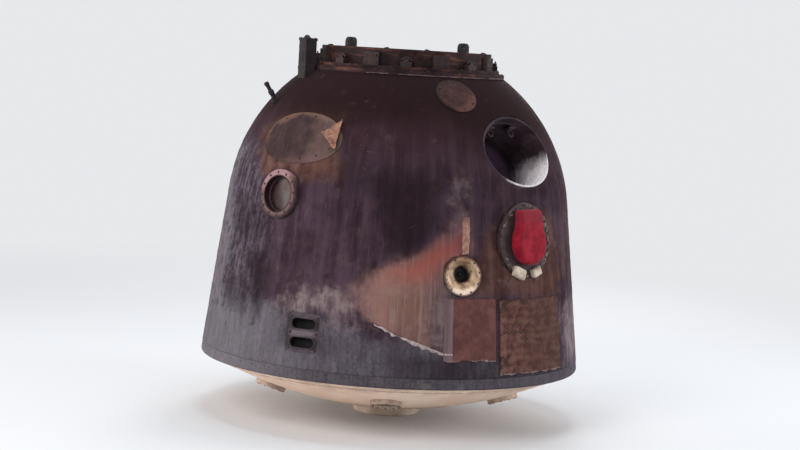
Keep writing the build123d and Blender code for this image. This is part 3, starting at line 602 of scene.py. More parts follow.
def nozzle_material(name, matrix, shift=(0.0, 0.0)):
    """Heat-tinted gold alloy, with a painted highlight along its lower lip, and sooty in the throat."""
    g = Graph(f"nozzle_{name}")
    x, y, z = g.local(matrix)
    reach = g.distance(x, y)
    mottle = g.noise(30.0, 4.0, 0.65)
    brushed = g.noise(1.0, 3.0, 0.6, g.joined(g.mul(reach, 900.0), g.mul(z, 300.0), 0.0))
    grain = g.noise(300.0, 2.0, 0.7)
    g.colour = g.blend(mottle, 0.35, 0.65, (150, 120, 94), (206, 178, 150))
    g.lay(y, 0.0, 0.11, (118, 84, 58), 0.6)
    # Painted highlight: the lower lip paler, where light from above falls on it.
    low = g.add(g.mul(y, -1.0), g.swing(mottle, 0.05))
    g.cover(g.mul(g.ramp(low, 0.045, 0.085), g.ramp(reach, 0.06, 0.08)), (232, 208, 188))
    inner = g.distance(g.add(x, -shift[0]), g.add(y, -shift[1]))
    g.lay(reach, 0.096, 0.103, (72, 38, 32), 0.8)
    throat = g.ramp(g.add(inner, g.swing(mottle, 0.016)), 0.036, 0.062, 0.9, 0.0)
    g.cover(throat, (58, 40, 26))
    g.lay(z, -0.04, -0.018, (16, 10, 9), 0.0, 0.95)
    g.bump(brushed, 0.0003, 0.4)
    g.bump(grain, 0.0003, 0.5)
    return g.finish(g.ramp(mottle, 0.3, 0.7, 0.38, 0.55), 0.3, Specular_IOR_Level=0.4)


def thruster_material(name, matrix):
    """Grey scorched block, black in its two mouths as painted shade, with a pale worn band between them."""
    g = Graph(f"thruster_{name}")
    x, y, z = g.local(matrix)
    fine = g.noise(64.0, 5.0, 0.68)
    mid = g.noise(17.0, 5.0, 0.62)
    g.colour = g.blend(fine, 0.3, 0.7, (56, 46, 54), (80, 70, 78))
    g.lay(mid, 0.5, 0.7, (56, 45, 50), 0.5)
    across = g.size(g.add(y, g.mul(x, -0.16)))
    worn = g.mul(g.ramp(across, 0.012, 0.03, 1.0, 0.0), g.ramp(g.size(x), 0.05, 0.09, 1.0, 0.0))
    g.cover(g.mul(worn, 0.4), (116, 102, 106))
    burn = g.size(g.add(g.size(y), -0.051))
    g.lay(g.add(burn, g.mul(fine, 0.014)), 0.03, 0.048, (34, 26, 28), 0.0, 0.7)
    # Painted shade: near black deeper into the mouths.
    g.lay(z, -0.014, -0.003, (16, 12, 13), 0.0, 1.0)
    g.bump(fine, 0.0016, 0.6)
    return g.finish(0.82, 0.05, Specular_IOR_Level=0.25)


def liner_material(matrix):
    """The open well's liner: sooty purple, with a painted pool of light in pale grey low inside the mouth,
    a pale floor that stands in for light, and painted shade along the lip.
    """
    g = Graph("well_liner")
    x, y, z = g.local(matrix)
    mottle = g.noise(8.0, 4.0, 0.66)
    grain = g.noise(120.0, 4.0, 0.7)
    g.colour = g.blend(mottle, 0.36, 0.64, (42, 29, 35), (66, 51, 57))
    down = g.add(g.mul(x, 0.35), g.mul(y, -0.95))
    # Painted light: a pale grey pool low inside the mouth, where light enters.
    painted_light = g.ramp(g.add(down, g.swing(mottle, 0.14)), 0.06, 0.17)
    painted_light = g.mul(painted_light, g.ramp(g.add(z, g.mul(mottle, 0.1)), -0.3, -0.1))
    metal = g.blend(grain, 0.35, 0.65, (186, 180, 184), (222, 216, 218))
    g.cover(painted_light, metal)
    # Painted light: the floor paler, standing in for light that does not reach it.
    g.lay(z, -0.36, -0.3, (124, 100, 122), 0.0, 1.0)
    # Painted shade: the lip darker, least at the lower right.
    lip = g.ramp(z, -0.022, -0.012)
    g.cover(g.mul(lip, g.ramp(down, 0.1, 0.22, 1.0, 0.15)), (34, 23, 28))
    shell = g.ramp(g.distance(g.mul(x, 1.0 / WELL_HALF[0]), g.mul(y, 1.0 / WELL_HALF[1])), 0.975, 0.985)
    shell = g.mul(g.most(shell, g.ramp(z, -0.397, -0.394, 1.0, 0.0)), g.ramp(z, -0.07, -0.06, 1.0, 0.0))
    g.cover(shell, g.blend(mottle, 0.36, 0.64, (122, 126, 118), (146, 150, 140)))
    g.bump(mottle, 0.002, 0.5)
    g.bump(grain, 0.0006, 0.5)
    return g.finish(g.ramp(mottle, 0.3, 0.7, 0.7, 0.85), 0.0, Specular_IOR_Level=0.15)


def reserve_material(matrix):
    """The reserve lid's coat: brown grey, scorched orange along its upper left edge."""
    g = Graph("reserve_coat")
    x, y, _ = g.local(matrix)
    mottle = g.noise(12.0, 4.0, 0.66)
    fine = g.noise(70.0, 3.0, 0.7)
    streak = g.noise(1.0, 4.0, 0.66, g.around(30.0, 2.2))
    thin = g.noise(1.0, 4.0, 0.7, g.around(75.0, 3.0))
    g.colour = g.blend(mottle, 0.34, 0.66, (42, 27, 29), (58, 40, 41))
    g.lay(streak, 0.5, 0.72, (50, 34, 36), 0.55)
    g.lay(thin, 0.54, 0.74, (100, 80, 74), 0.3)
    edge = g.distance(g.mul(x, 1.0 / RESERVE_HALF[0]), g.mul(y, 1.0 / RESERVE_HALF[1]))
    burn = g.mul(g.ramp(g.add(edge, g.mul(mottle, 0.5)), 1.0, 1.25),
                 g.ramp(g.add(y, g.mul(x, -0.3)), 0.0, 0.12))
    g.cover(g.mul(burn, 0.5), (108, 82, 66))
    side = g.ramp(g.add(x, g.mul(mottle, 0.2)), 0.1, 0.3, 0.0, 0.55)
    g.cover(side, (100, 80, 74))
    g.lay(g.add(y, g.mul(x, -0.2)), -0.17, -0.09, (118, 88, 84), 0.0, 0.4)
    g.bump(mottle, 0.003, 0.5)
    g.bump(fine, 0.0018, 0.7)
    g.bump(streak, 0.001, 0.5)
    return g.finish(0.88, Specular_IOR_Level=0.18)


def torn_material():
    """Torn coat: fibres of orange beige over a burnt brown core."""
    g = Graph("torn_coat")
    fibre = g.noise(1.0, 4.0, 0.7, g.around(220.0, 9.0))
    mottle = g.noise(28.0, 3.0, 0.7)
    g.colour = g.blend(mottle, 0.34, 0.66, (112, 78, 66), (146, 108, 92))
    g.lay(fibre, 0.5, 0.7, (172, 130, 108), 0.45)
    g.lay(fibre, 0.3, 0.42, (90, 58, 48), 0.0, 0.3)
    g.bump(fibre, 0.0022, 0.8)
    g.bump(mottle, 0.002, 0.6)
    return g.finish(0.92, Specular_IOR_Level=0.12)


def vent_material(name, matrix):
    """The vent's coat disc: orange brown, blacker to its rim, with rings of old char."""
    g = Graph(f"vent_{name}")
    x, y, _ = g.local(matrix)
    reach = g.distance(x, y)
    mottle = g.noise(20.0, 4.0, 0.68)
    fine = g.noise(90.0, 3.0, 0.7)
    ring = g.texture("Wave", Vector=g.joined(reach, 0.0, 0.0), Scale=7.0, Distortion=2.0)
    g.colour = g.blend(mottle, 0.36, 0.64, (44, 24, 26), (64, 39, 38))
    g.cover(g.mul(g.ramp(ring, 0.5, 0.9), 0.35), (44, 26, 28))
    g.lay(g.add(reach, g.mul(mottle, 0.03)), 0.1, 0.132, (36, 25, 25), 0.85)
    low = g.ramp(g.add(g.add(x, g.mul(y, -1.0)), g.mul(mottle, 0.08)), 0.06, 0.16, 0.0, 0.5)
    g.cover(g.mul(low, g.ramp(reach, 0.05, 0.08)), (100, 66, 58))
    g.bump(mottle, 0.003, 0.5)
    g.bump(fine, 0.0015, 0.7)
    return g.finish(0.88, Specular_IOR_Level=0.18)


def strip_material():
    """The raceway cover: pale orange, blackened towards its torn upper end."""
    g = Graph("strip_coat")
    _, y, _ = g.local(surface_frame(*RACEWAY))
    mottle = g.noise(34.0, 4.0, 0.7)
    fibre = g.noise(1.0, 4.0, 0.7, g.around(160.0, 6.0))
    g.colour = g.blend(mottle, 0.34, 0.66, (124, 88, 78), (160, 122, 108))
    g.lay(fibre, 0.5, 0.68, (176, 142, 128), 0.5)
    g.lay(g.add(y, g.mul(mottle, 0.06)), 0.07, 0.14, (70, 46, 42), 0.7)
    g.lay(fibre, 0.32, 0.42, (84, 54, 48), 0.0, 0.5)
    g.bump(fibre, 0.0016, 0.7)
    g.bump(mottle, 0.002, 0.5)
    return g.finish(0.9, Specular_IOR_Level=0.15)


def panel_material(name, light, dark, pale, grid=0.0):
    """A coat panel: streaked down, pitted, and pale where its lower edge broke."""
    g = Graph(name)
    mottle = g.noise(13.0, 4.0, 0.66)
    fine = g.noise(80.0, 3.0, 0.7)
    streak = g.noise(1.0, 4.0, 0.66, g.around(34.0, 1.6))
    thin = g.noise(1.0, 4.0, 0.7, g.around(90.0, 3.0))
    relief = g.attribute("relief")
    edge = g.attribute("edge")
    side = g.attribute("side")
    g.colour = g.blend(mottle, 0.34, 0.66, dark, light)
    g.lay(streak, 0.5, 0.72, dark, 0.55)
    g.lay(thin, 0.55, 0.75, pale, 0.45)
    if grid:
        # Painted shade: darker in the hollows between the ribs.
        g.lay(relief, 0.2, 0.5, (48, 32, 29), 0.0, grid)
        olive = g.blend(mottle, 0.4, 0.6, (96, 84, 66), (112, 76, 68))
        g.lay(relief, 0.6, 0.95, olive, 0.5)
        x, _, _ = g.split()
        g.lay(g.add(x, g.mul(mottle, 0.2)), 0.76, 0.92, (72, 48, 44), 0.5)
    g.lay(g.add(edge, g.mul(fine, 0.5)), 0.95, 1.2, (134, 122, 120), 0.6)
    grey = g.blend(streak, 0.4, 0.6, (98, 80, 83), (114, 97, 100))
    g.lay(g.add(side, g.swing(mottle, 0.5)), 0.35, 0.65, grey, 0.85)
    g.bump(mottle, 0.002, 0.5)
    g.bump(fine, 0.0016, 0.7)
    return g.finish(0.88, Specular_IOR_Level=0.12)


def painted(name, light, dark, rough=0.5, worn=None, metal=0.0):
    """Clean cabin paint or moulding with a fine orange-peel grain and rubbed edges."""
    g = Graph(name)
    mottle = g.noise(9.0, 5.0, 0.6)
    grain = g.noise(380.0, 2.0, 0.5)
    g.colour = g.blend(mottle, 0.3, 0.7, dark, light)
    if worn is not None:
        g.lay(g.noise(46.0, 5.0, 0.75), 0.62, 0.7, worn, 0.6)
    g.bump(grain, 0.0003, 0.4)
    return g.finish(g.ramp(mottle, 0.3, 0.7, rough, rough + 0.12), metal)


def floor_tiles():
    """The cabin floor: grey green plates with joints and rubbed tracks."""
    g = Graph("cabin_floor")
    x, y, _ = g.split()
    joint_x = g.size(g.math("PINGPONG", g.add(x, 5.0), 0.15))
    joint_y = g.size(g.math("PINGPONG", g.add(y, 5.0), 0.22))
    joint = g.most(g.ramp(joint_x, 0.0, 0.003, 1.0, 0.0), g.ramp(joint_y, 0.0, 0.003, 1.0, 0.0))
    mottle = g.noise(6.0, 4.0, 0.65)
    g.colour = g.blend(mottle, 0.35, 0.65, (128, 134, 124), (150, 156, 146))
    g.cover(g.mul(joint, 0.8), (62, 66, 62))
    g.bump(g.mul(joint, -1.0), 0.002)
    return g.finish(0.6)


def fabric_material(name, light, dark):
    """Woven couch cloth with a soft sheen."""
    g = Graph(name)
    x, y, _ = g.split()
    weave = g.add(g.mul(g.math("SINE", g.mul(x, 1900.0)), 0.25),
                  g.mul(g.math("SINE", g.mul(y, 1900.0)), 0.25))
    slub = g.noise(1.0, 3.0, 0.6, g.stretched(40.0, 500.0, 40.0))
    g.colour = g.blend(g.noise(7.0, 5.0), 0.3, 0.7, dark, light)
    g.lay(slub, 0.5, 0.7, light, 0.3)
    g.bump(weave, 0.0005, 0.8)
    g.bump(g.noise(60.0, 3.0), 0.0012, 0.4)
    return g.finish(0.86, Sheen_Weight=0.3, Sheen_Roughness=0.5, Specular_IOR_Level=0.2)


# Making pieces


def adopt(piece, body=HULL, material=None):
    """Links a piece, gives it its material, and rides it on a body."""
    bpy.context.scene.collection.objects.link(piece)
    if material is not None:
        piece.data.materials.append(material)
    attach(piece, body)
    return piece


class Mould:
    """Gathers the geometry of one piece, each part placed by a matrix."""

    def __init__(self):
        self.verts, self.faces = [], []

    def add(self, verts, faces, matrix=None):
        start = len(self.verts)
        self.verts += [matrix @ Vector(v) if matrix else Vector(v) for v in verts]
        self.faces += [tuple(start + index for index in face) for face in faces]

    def lathe(self, matrix, profile, segments=40):
        """Turns a profile of (radius, height) points about z; a radius of 0 closes an end."""
        verts, rows = [], []
        for radius, height in profile:
            if radius < 1e-9:
                rows.append([len(verts)] * segments)
                verts.append((0.0, 0.0, height))
                continue
            rows.append([len(verts) + index for index in range(segments)])
            verts += [polar(radius, turn, height) for turn in turns_of(segments)]
        self.add(verts, bridged(rows, True), matrix)

    def grid(self, rows, closed=False, matrix=None):
        """Rows of points of one length, joined by faces."""
        verts = [point for row in rows for point in row]
        self.add(verts, bridged(numbered(len(rows), len(rows[0])), closed), matrix)

    def prism(self, matrix, outline, low, high, bevel=0.0):
        """Raises an outline between two heights, with its upper edge bevelled."""
        reach = max(hypot(x, y) for x, y in outline)
        inner = 1.0 - bevel / reach
        rows = [[(x * share, y * share, z) for x, y in outline]
                for share, z in ((1.0, low), (1.0, high - bevel), (inner, high))]
        self.grid(rows, True, matrix)
        count = len(outline)
        start = len(self.verts) - count
        self.faces.append(tuple(range(start, start + count)))
        self.faces.append(tuple(reversed(range(start - 2 * count, start - count))))

    def box(self, matrix, size, bevel=0.0015):
        """A bevelled block that stands on the frame's plane."""
        x, y = size[0] / 2, size[1] / 2
        self.prism(matrix, [(-x, -y), (x, -y), (x, y), (-x, y)], 0.0, size[2], bevel)

    def tube(self, points, radius, segments=8, closed=False):
        """A tube along a line of points."""
        points = [Vector(point) for point in points]
        count = len(points)
        normal = Vector((0.31, 0.57, 0.76))
        rows = []
        for index, point in enumerate(points):
            after = points[(index + 1) % count] if closed else points[min(index + 1, count - 1)]
            before = points[index - 1] if closed else points[max(index - 1, 0)]
            ahead = (after - before).normalized()
            normal = (normal - ahead * normal.dot(ahead)).normalized()
            side = ahead.cross(normal)
            rows.append([point + (normal * cos(turn) + side * sin(turn)) * radius
                         for turn in turns_of(segments)])
        if closed:
            rows.append(rows[0])
        self.grid(rows, True)
        if not closed:
            start = len(self.verts) - count * segments
            self.faces.append(tuple(range(start, start + segments)))
            self.faces.append(tuple(range(len(self.verts) - segments, len(self.verts))))

    def piece(self, name, material, slot, body=HULL, crease=38.0):
        mesh = bpy.data.meshes.new(name)
        mesh.from_pydata([tuple(v) for v in self.verts], [], self.faces)
        tidy = bmesh.new()
        tidy.from_mesh(mesh)
        bmesh.ops.remove_doubles(tidy, verts=tidy.verts, dist=1e-6)
        bmesh.ops.recalc_face_normals(tidy, faces=tidy.faces)
        tidy.to_mesh(mesh)
        tidy.free()
        mesh.shade_smooth()
        mesh.set_sharp_from_angle(angle=radians(crease))
        return adopt(bpy.data.objects.new(name, mesh), body, material)


def numbered(count, width):
    """The vertex numbers of a grid, row by row."""
    return [range(row * width, (row + 1) * width) for row in range(count)]


def bridged(rows, closed):
    """Faces between rows of vertex numbers."""
    faces = []
    width = len(rows[0])
    for lower, upper in zip(rows, rows[1:]):
        for index in range(width if closed else width - 1):
            following = (index + 1) % width
            face = []
            for number in (lower[index], lower[following], upper[following], upper[index]):
                if number not in face:
                    face.append(number)
            if len(face) > 2:
                faces.append(face)
    return faces


def ring_of(count, radius, start=0.0):
    """Places on a circle in a fitting's plane."""
    return [(radius * cos(turn + start), radius * sin(turn + start)) for turn in turns_of(count)]


def rounded_outline(width, height, corner, steps=6):
    """A rectangle with rounded corners, in a fitting's plane."""
    outline = []
    for x, y, start in ((1, 1, 0), (-1, 1, 90), (-1, -1, 180), (1, -1, 270)):
        for step in range(steps + 1):
            turn = radians(start + 90 * step / steps)
            outline.append((x * (width / 2 - corner) + corner * cos(turn),
                            y * (height / 2 - corner) + corner * sin(turn)))
    return outline


def screws(mould, matrix, places, radius=0.005, height=0.003, sides=6):
    """Bolt heads at places of a fitting's plane, each on a washer."""
    for index, (x, y) in enumerate(places):
        seat = matrix @ Matrix.Translation((x, y, 0.0)) @ Matrix.Rotation(index * 0.7, 4, "Z")
        washer = height * 0.25
        mould.lathe(seat, [(radius * 1.5, -0.001), (radius * 1.5, washer), (0.0, washer)], 16)
        head = [(radius, 0.0), (radius, height * 0.8), (radius * 0.82, height), (0.0, height)]
        mould.lathe(seat, head, sides)


# The coat's skins: dense grids that follow the bell, holed where fittings pass


# Fields over a fitting's plane, negative inside the hole


def circle_hole(radius):
    return lambda x, y: hypot(x, y) - radius


def oval_hole(half_width, half_height):
    return lambda x, y: (hypot(x / half_width, y / half_height) - 1.0) * min(half_width, half_height)


def box_hole(width, height, corner):
    def field(x, y):
        across = abs(x) - width / 2 + corner
        along = abs(y) - height / 2 + corner
        outside = hypot(max(across, 0.0), max(along, 0.0))
        return outside + min(max(across, along), 0.0) - corner

    return field


def coat_holes():
    """Each hole of the coat: the frame of its fitting and a field that is negative inside it."""
    holes = [(surface_frame(az, h), circle_hole(WINDOW_RADIUS + CLEARANCE)) for _, az, h in WINDOWS]
    holes += [(surface_frame(az, h), circle_hole(NOZZLE_RADIUS + CLEARANCE)) for _, az, h in NOZZLES]
    width, height, corner = THRUSTER_SIZE
    for _, azimuth, place in THRUSTERS:
        field = box_hole(width + 2 * CLEARANCE, height + 2 * CLEARANCE, corner)
        holes.append((surface_frame(azimuth, place), field))
    holes.append((surface_frame(*SCOPE), circle_hole(SCOPE_RADIUS + CLEARANCE)))
    holes.append((surface_frame(*WELL), oval_hole(*(half + CLEARANCE for half in WELL_HALF))))
    holes.append((surface_frame(*RESERVE), oval_hole(*(half + CLEARANCE for half in RESERVE_HALF))))
    width, height, corner = UMBILICAL_SIZE
    holes.append((surface_frame(*UMBILICAL), box_hole(width + CLEARANCE, height + CLEARANCE, corner)))
    return [(matrix, matrix.inverted(), field) for matrix, field in holes]


class Patch:
    """A patch of the coat inside corners given as azimuth and height; its border fades from low to high."""

    def __init__(self, corners, low, high):
        self.corners = corners
        self.low, self.high = low, high
        self.left = min(azimuth for azimuth, _ in corners) - 12.0
        self.right = max(azimuth for azimuth, _ in corners) + 12.0
        self.bottom = min(height for _, height in corners) - 0.25
        self.top = max(height for _, height in corners) + 0.25

    def share(self, azimuth, height):
        """0 outside the patch, 1 well inside it."""
        if azimuth > self.right:
            azimuth -= 360.0
        if not (self.left < azimuth < self.right and self.bottom < height < self.top):
            return 0.0
        return band(self.depth(azimuth, height), self.low, self.high)

    def depth(self, azimuth, height):
        """How deep a place lies inside the patch, in metres; negative outside."""
        scale = radians(1.0) * outline_radius(max(0.0, min(height, TOP_HEIGHT)))
        x, y = azimuth * scale, height
        inside, nearest = False, 1e9
        for (az_a, h_a), (az_b, h_b) in zip(self.corners, self.corners[1:] + self.corners[:1]):
            xa, xb = az_a * scale, az_b * scale
            run = (xb - xa, h_b - h_a)
            share = ((x - xa) * run[0] + (y - h_a) * run[1]) / (run[0] ** 2 + run[1] ** 2)
            share = max(0.0, min(1.0, share))
            nearest = min(nearest, hypot(x - xa - share * run[0], y - h_a - share * run[1]))
            if (h_a > y) != (h_b > y) and x < xa + (y - h_a) * (xb - xa) / (h_b - h_a):
                inside = not inside
        return nearest if inside else -nearest


def patches(*rows):
    """Patches with the greatest share of each: rows of share, low, high and corners."""
    return [(share, Patch(corners, low, high)) for share, low, high, corners in rows]


EDGE_LINE = [(-4.7, 0.338), (2.5, 0.279), (10.4, 0.225), (15.2, 0.198), (31.4, 0.157)]
EMBER = Patch([
    (-17.0, 0.49), (-10.0, 0.37), (-4.7, 0.3), (16.0, 0.15), (16.6, 0.5), (22.0, 0.53), (22.6, 0.9),
    (20.4, 0.95), (17.3, 0.84), (11.0, 0.75), (2.9, 0.68), (-3.4, 0.624), (-9.7, 0.566)
], -0.085, 0.075)
GLOW = Patch([
    (-9.0, 0.49), (2.9, 0.57), (11.0, 0.61), (16.0, 0.65), (20.6, 0.71), (20.8, 0.85), (17.6, 0.81),
    (11.0, 0.73), (2.9, 0.65), (-4.0, 0.61), (-9.5, 0.57)
], -0.1, 0.085)
EMBER_REAR = Patch([(azimuth - 180.0, height) for azimuth, height in EMBER.corners], -0.085, 0.12)
GLOW_REAR = Patch([(azimuth - 180.0, height) for azimuth, height in GLOW.corners], -0.1, 0.085)
SOOT_FIELD = patches(
    (0.74, -0.1, 0.1, [
     (-22.0, 1.117), (-12.1, 1.041), (-7.0, 0.874), (-2.2, 0.722), (3.7, 0.695), (11.0, 0.765),
     (14.0, 0.881), (13.0, 0.96), (14.0, 1.04), (17.0, 1.16), (10.4, 1.17), (-1.9, 1.18)]),
    (0.32, -0.15, 0.15, [
     (-24.0, 0.75), (30.0, 0.75), (60.0, 0.95), (66.0, 1.6), (-60.0, 1.6), (-25.0, 1.15)]),
    (0.85, -0.1, 0.16, [
     (-172.0, 0.75), (-166.0, 1.1), (-120.0, 1.2), (-90.0, 1.45), (-150.0, 1.6), (-200.0, 1.3)]),
    (0.8, -0.1, 0.14, [(95.0, 0.9), (120.0, 1.25), (165.0, 1.3), (170.0, 0.95), (150.0, 0.78)]),
    (0.75, -0.07, 0.07, [
     (-52.0, 0.66), (-43.0, 0.68), (-39.0, 0.5), (-40.0, 0.28), (-44.0, 0.26), (-47.0, 0.45)]),
    (0.5, -0.08, 0.08, [(-24.0, 1.0), (-7.0, 0.96), (-6.0, 1.22), (-24.0, 1.22)]),
    (0.45, -0.08, 0.08, [(-64.0, 0.7), (-46.0, 0.7), (-43.0, 0.84), (-43.0, 0.94), (-62.0, 0.94)]),
    (0.5, -0.06, 0.06, [(-17.0, 1.36), (-12.0, 1.42), (-3.0, 1.4), (-4.0, 1.3), (-15.0, 1.3)]),
    (0.6, -0.06, 0.05, [(38.0, 1.02), (60.0, 1.02), (60.0, 1.1), (38.0, 1.1)]),
    (0.35, -0.06, 0.06, [(60.0, 0.95), (84.0, 0.95), (84.0, 1.3), (60.0, 1.3)]),
    (0.55, -0.08, 0.08, [(-66.0, 0.34), (-50.0, 0.27), (-46.0, 0.42), (-52.0, 0.5), (-64.0, 0.52)]),
    (0.5, -0.08, 0.06, [(-34.0, 0.36), (-19.0, 0.36), (-19.0, 0.16), (-34.0, 0.16)]),
)
BLUSH = patches(
    (0.78, -0.08, 0.11, [
     (-36.0, 0.4), (-33.0, 0.48), (-22.0, 0.52), (-11.0, 0.53), (-3.0, 0.48), (-6.8, 0.32),
     (-21.4, 0.27), (-34.0, 0.28)]),
    (0.62, -0.05, 0.035, [(12.6, 0.5), (18.6, 0.5), (18.6, 0.15), (11.2, 0.2)]),
    # A pale patch at the right silhouette, partly a painted rim light.
    (0.8, -0.06, 0.12, [(62.2, 0.42), (76.0, 0.45), (88.0, 0.34), (98.0, 0.05), (62.2, 0.05)]),
    # A pale patch at the left silhouette, partly a painted rim light.
    (0.35, -0.1, 0.16, [(-100.0, 0.2), (-70.0, 0.3), (-66.0, 0.75), (-74.0, 1.2), (-100.0, 1.2)]),
    (0.2, -0.08, 0.06, [(-34.0, 1.12), (-30.0, 1.06), (-21.5, 1.06), (-21.2, 1.203)]),
    (0.65, -0.07, 0.05, [(15.5, 0.99), (23.5, 0.99), (23.0, 1.12), (15.5, 1.12)]),
)
# Pale patches at the two silhouettes: partly ashes, partly a painted rim light.
ASH_AND_RIM_LIGHT_FLANKS = [
    Patch([(-110.0, 0.2), (-68.0, 0.26), (-63.0, 0.75), (-72.0, 1.2), (-110.0, 1.2)], -0.1, 0.16),
    Patch([(62.2, 0.36), (82.0, 0.45), (106.0, 0.3), (116.0, 0.05), (62.2, 0.05)], -0.1, 0.14),
]
BROWN = patches(
    (0.9, -0.07, 0.06, [(46.0, 0.5), (62.0, 0.5), (66.0, 0.62), (62.0, 0.7), (48.0, 0.6)]),
    (0.75, -0.06, 0.1, [
     (20.0, 0.5), (33.5, 0.46), (64.0, 0.44), (66.0, 0.8), (58.0, 0.95), (36.0, 0.97), (26.0, 0.8)]),
    (1.0, -0.08, 0.06, [
     (-60.0, 1.26), (-47.0, 1.47), (-24.0, 1.44), (-20.0, 1.12), (-30.0, 1.06), (-40.0, 1.11),
     (-52.0, 1.08)]),
    (0.6, -0.1, 0.2, [(62.0, 0.5), (100.0, 0.4), (100.0, 1.3), (70.0, 1.3)]),
)


PANEL_EDGE = 1  # the row of BLUSH beside the smooth panel, which keeps straight sides
RESERVE_HALO = 2  # the row of BROWN round the reserve lid


def edge_height(azimuth):
    """The height of the ember zone's broken lower edge."""
    for (az_a, h_a), (az_b, h_b) in zip(EDGE_LINE, EDGE_LINE[1:]):
        if azimuth <= az_b:
            return h_a + (azimuth - az_a) * (h_b - h_a) / (az_b - az_a)
    return EDGE_LINE[-1][1]


def coat_zones(azimuth, height, point):
    """The shares of the coat's masks at a place, in the order of MASKS but for the relief."""
    warp = Vector((noise.noise(point * 4.5), noise.noise(point * 4.5 + Vector((9.0, 0.0, 0.0))), 0.0))
    fine = noise.noise(point * 14.0 + Vector((0.0, 5.0, 0.0)))
    az = azimuth + 3.2 * warp.x + 1.4 * fine
    h = height + 0.05 * warp.y + 0.016 * fine
    soft = 0.1 * band(-azimuth, 4.0, 12.0)
    cut = height - edge_height(azimuth) if -20.0 < azimuth < 36.0 else 1.0
    fade = 0.35 + 0.65 * band(azimuth, -15.0, 1.0)
    ember = EMBER.share(az, h) * band(cut, -0.004 - soft, 0.008 + soft) * fade
    ember = max(ember, EMBER_REAR.share(az, h))
    glow = max(GLOW.share(az, h) * band(azimuth, -14.0, 9.0), GLOW_REAR.share(az, h))
    soot = max(share * patch.share(az, h) for share, patch in SOOT_FIELD)
    soot = max(soot, band(h + 0.12 * noise.noise(point * 2.2), 1.1, 1.56))
    left = band(-turn_between(az, -40.0), -8.0, 16.0) * band(turn_between(az, -150.0), 0.0, 40.0)
    flank = band(turn_between(az, 62.0), 0.0, 16.0) * band(-turn_between(az, 150.0), 0.0, 30.0)
    char = max(left, 0.5 * flank) * band(h, 0.1, 0.34) * (1.0 - band(h, 1.1, 1.4))
    slope = 0.30 - 0.17 * sin(radians(azimuth))
    ash_and_rim_light = (1.0 - band(h, slope - 0.14, slope + 0.1)) * 0.95
    # The flank patches add a painted rim light to the ashes.
    ash_and_rim_light = max(ash_and_rim_light, left * (1.0 - band(h, 0.34, 0.7)) * 0.5,
              0.9 * max(patch.share(az, h) for patch in ASH_AND_RIM_LIGHT_FLANKS))
    ash_and_rim_light *= 1.0 - ember
    # Darkens the low band at the front right through the soot mask.
    dim = band(turn_between(azimuth, -9.0), 0.0, 20.0)
    dim *= 1.0 - band(turn_between(azimuth, 60.0), 0.0, 12.0)
    soot = max(soot, 0.6 * dim * (1.0 - band(height, 0.14, 0.26)) * (1.0 - ember))
    pale = BLUSH[PANEL_EDGE][1].share(azimuth, height)
    blush = max(share * patch.share(azimuth if index == PANEL_EDGE else az, h)
                for index, (share, patch) in enumerate(BLUSH))
    ember *= 1.0 - 0.7 * pale
    rust = max(share * patch.share(az, h) for share, patch in BROWN)
    char *= 1.0 - 0.8 * BROWN[RESERVE_HALO][1].share(az, h)
    return soot * (1.0 - ember * 0.8), ember, ash_and_rim_light, char, blush * (1.0 - 0.7 * soot), rust, glow


def coat_relief(height, point, zones):
    """How far the coat stands above the solid, as a share of its greatest relief."""
    _, ember, _, char, _, _, _ = zones
    spin = Vector((point.x, point.y, 0.0)).normalized()
    groove = noise.noise(Vector((spin.x * 17.0, spin.y * 17.0, height * 1.7)))
    run = noise.noise(Vector((spin.x * 60.0, spin.y * 60.0, height * 3.0)))
    blister = wear_at(point * 21.0)
    swell = noise.noise(point * 3.5)
    share = 0.46 + 0.12 * swell + 0.1 * groove + 0.06 * run
    share += blister * (0.10 + 0.34 * char) * (1.0 - 0.5 * ember) + 0.12 * ember
    return max(0.05, min(1.0, share))


COAT_CELL = 0.0115
COAT_RELIEF = 0.0052
COAT_TUCK = 0.004
PANEL_EDGE_REACH = 0.045
PALE_SIDE_STEP = 0.0035


def snapped(holes, point, low, high):
    """Whether a point of the bell lies in a hole, and the point, moved onto a hole's edge if it is near."""
    for matrix, inverse, field in holes:
        local = inverse @ point
        if local.z < -0.2 or max(abs(local.x), abs(local.y)) > 0.32:
            continue
        depth = field(local.x, local.y)
        if abs(depth) < 0.62 * COAT_CELL:
            step = 1e-4
            slope_x = (field(local.x + step, local.y) - depth) / step
            slope_y = (field(local.x, local.y + step) - depth) / step
            steep = slope_x**2 + slope_y**2
            local.x -= depth * slope_x / steep
            local.y -= depth * slope_y / steep
            azimuth, height = place_of(matrix @ local)
            return False, surface_point(azimuth, max(low, min(high, height)))
        if depth < 0.0:
            return True, point
    return False, point


def coat_skin(name, low, high, material):
    """One skin of the coat between two heights, with relief, zones, clean holes and tucked edges."""
    columns = int(2 * pi * RIM_RADIUS / COAT_CELL)
    heights = [low]
    while heights[-1] < high:
        slope = surface_normal(0.0, heights[-1])
        heights.append(heights[-1] + COAT_CELL * hypot(slope.x, slope.y))
    heights[-1] = high
    holes = coat_holes()
    verts, keep, masks = [], [], []
    for height in heights:
        for column in range(columns):
            spot = surface_point(column * 360.0 / columns - 180.0, height)
            inside, point = snapped(holes, spot, low, high)
            keep.append(not inside)
            azimuth, height_here = place_of(point)
            zones = (0.0,) * (len(MASKS) - 1) if inside else coat_zones(azimuth, height_here, point)
            share = coat_relief(height_here, point, zones)
            masks.append((*zones, share))
            verts.append(point + surface_normal(azimuth, height_here) * (share * COAT_RELIEF))
    faces = [face for face in bridged(numbered(len(heights), columns), True)
             if all(keep[corner] for corner in face)]
    mesh = skin_mesh(name, verts, faces, MASKS, masks)
    tuck_edges(mesh, -COAT_TUCK)
    return adopt(bpy.data.objects.new(name, mesh), HULL, material)


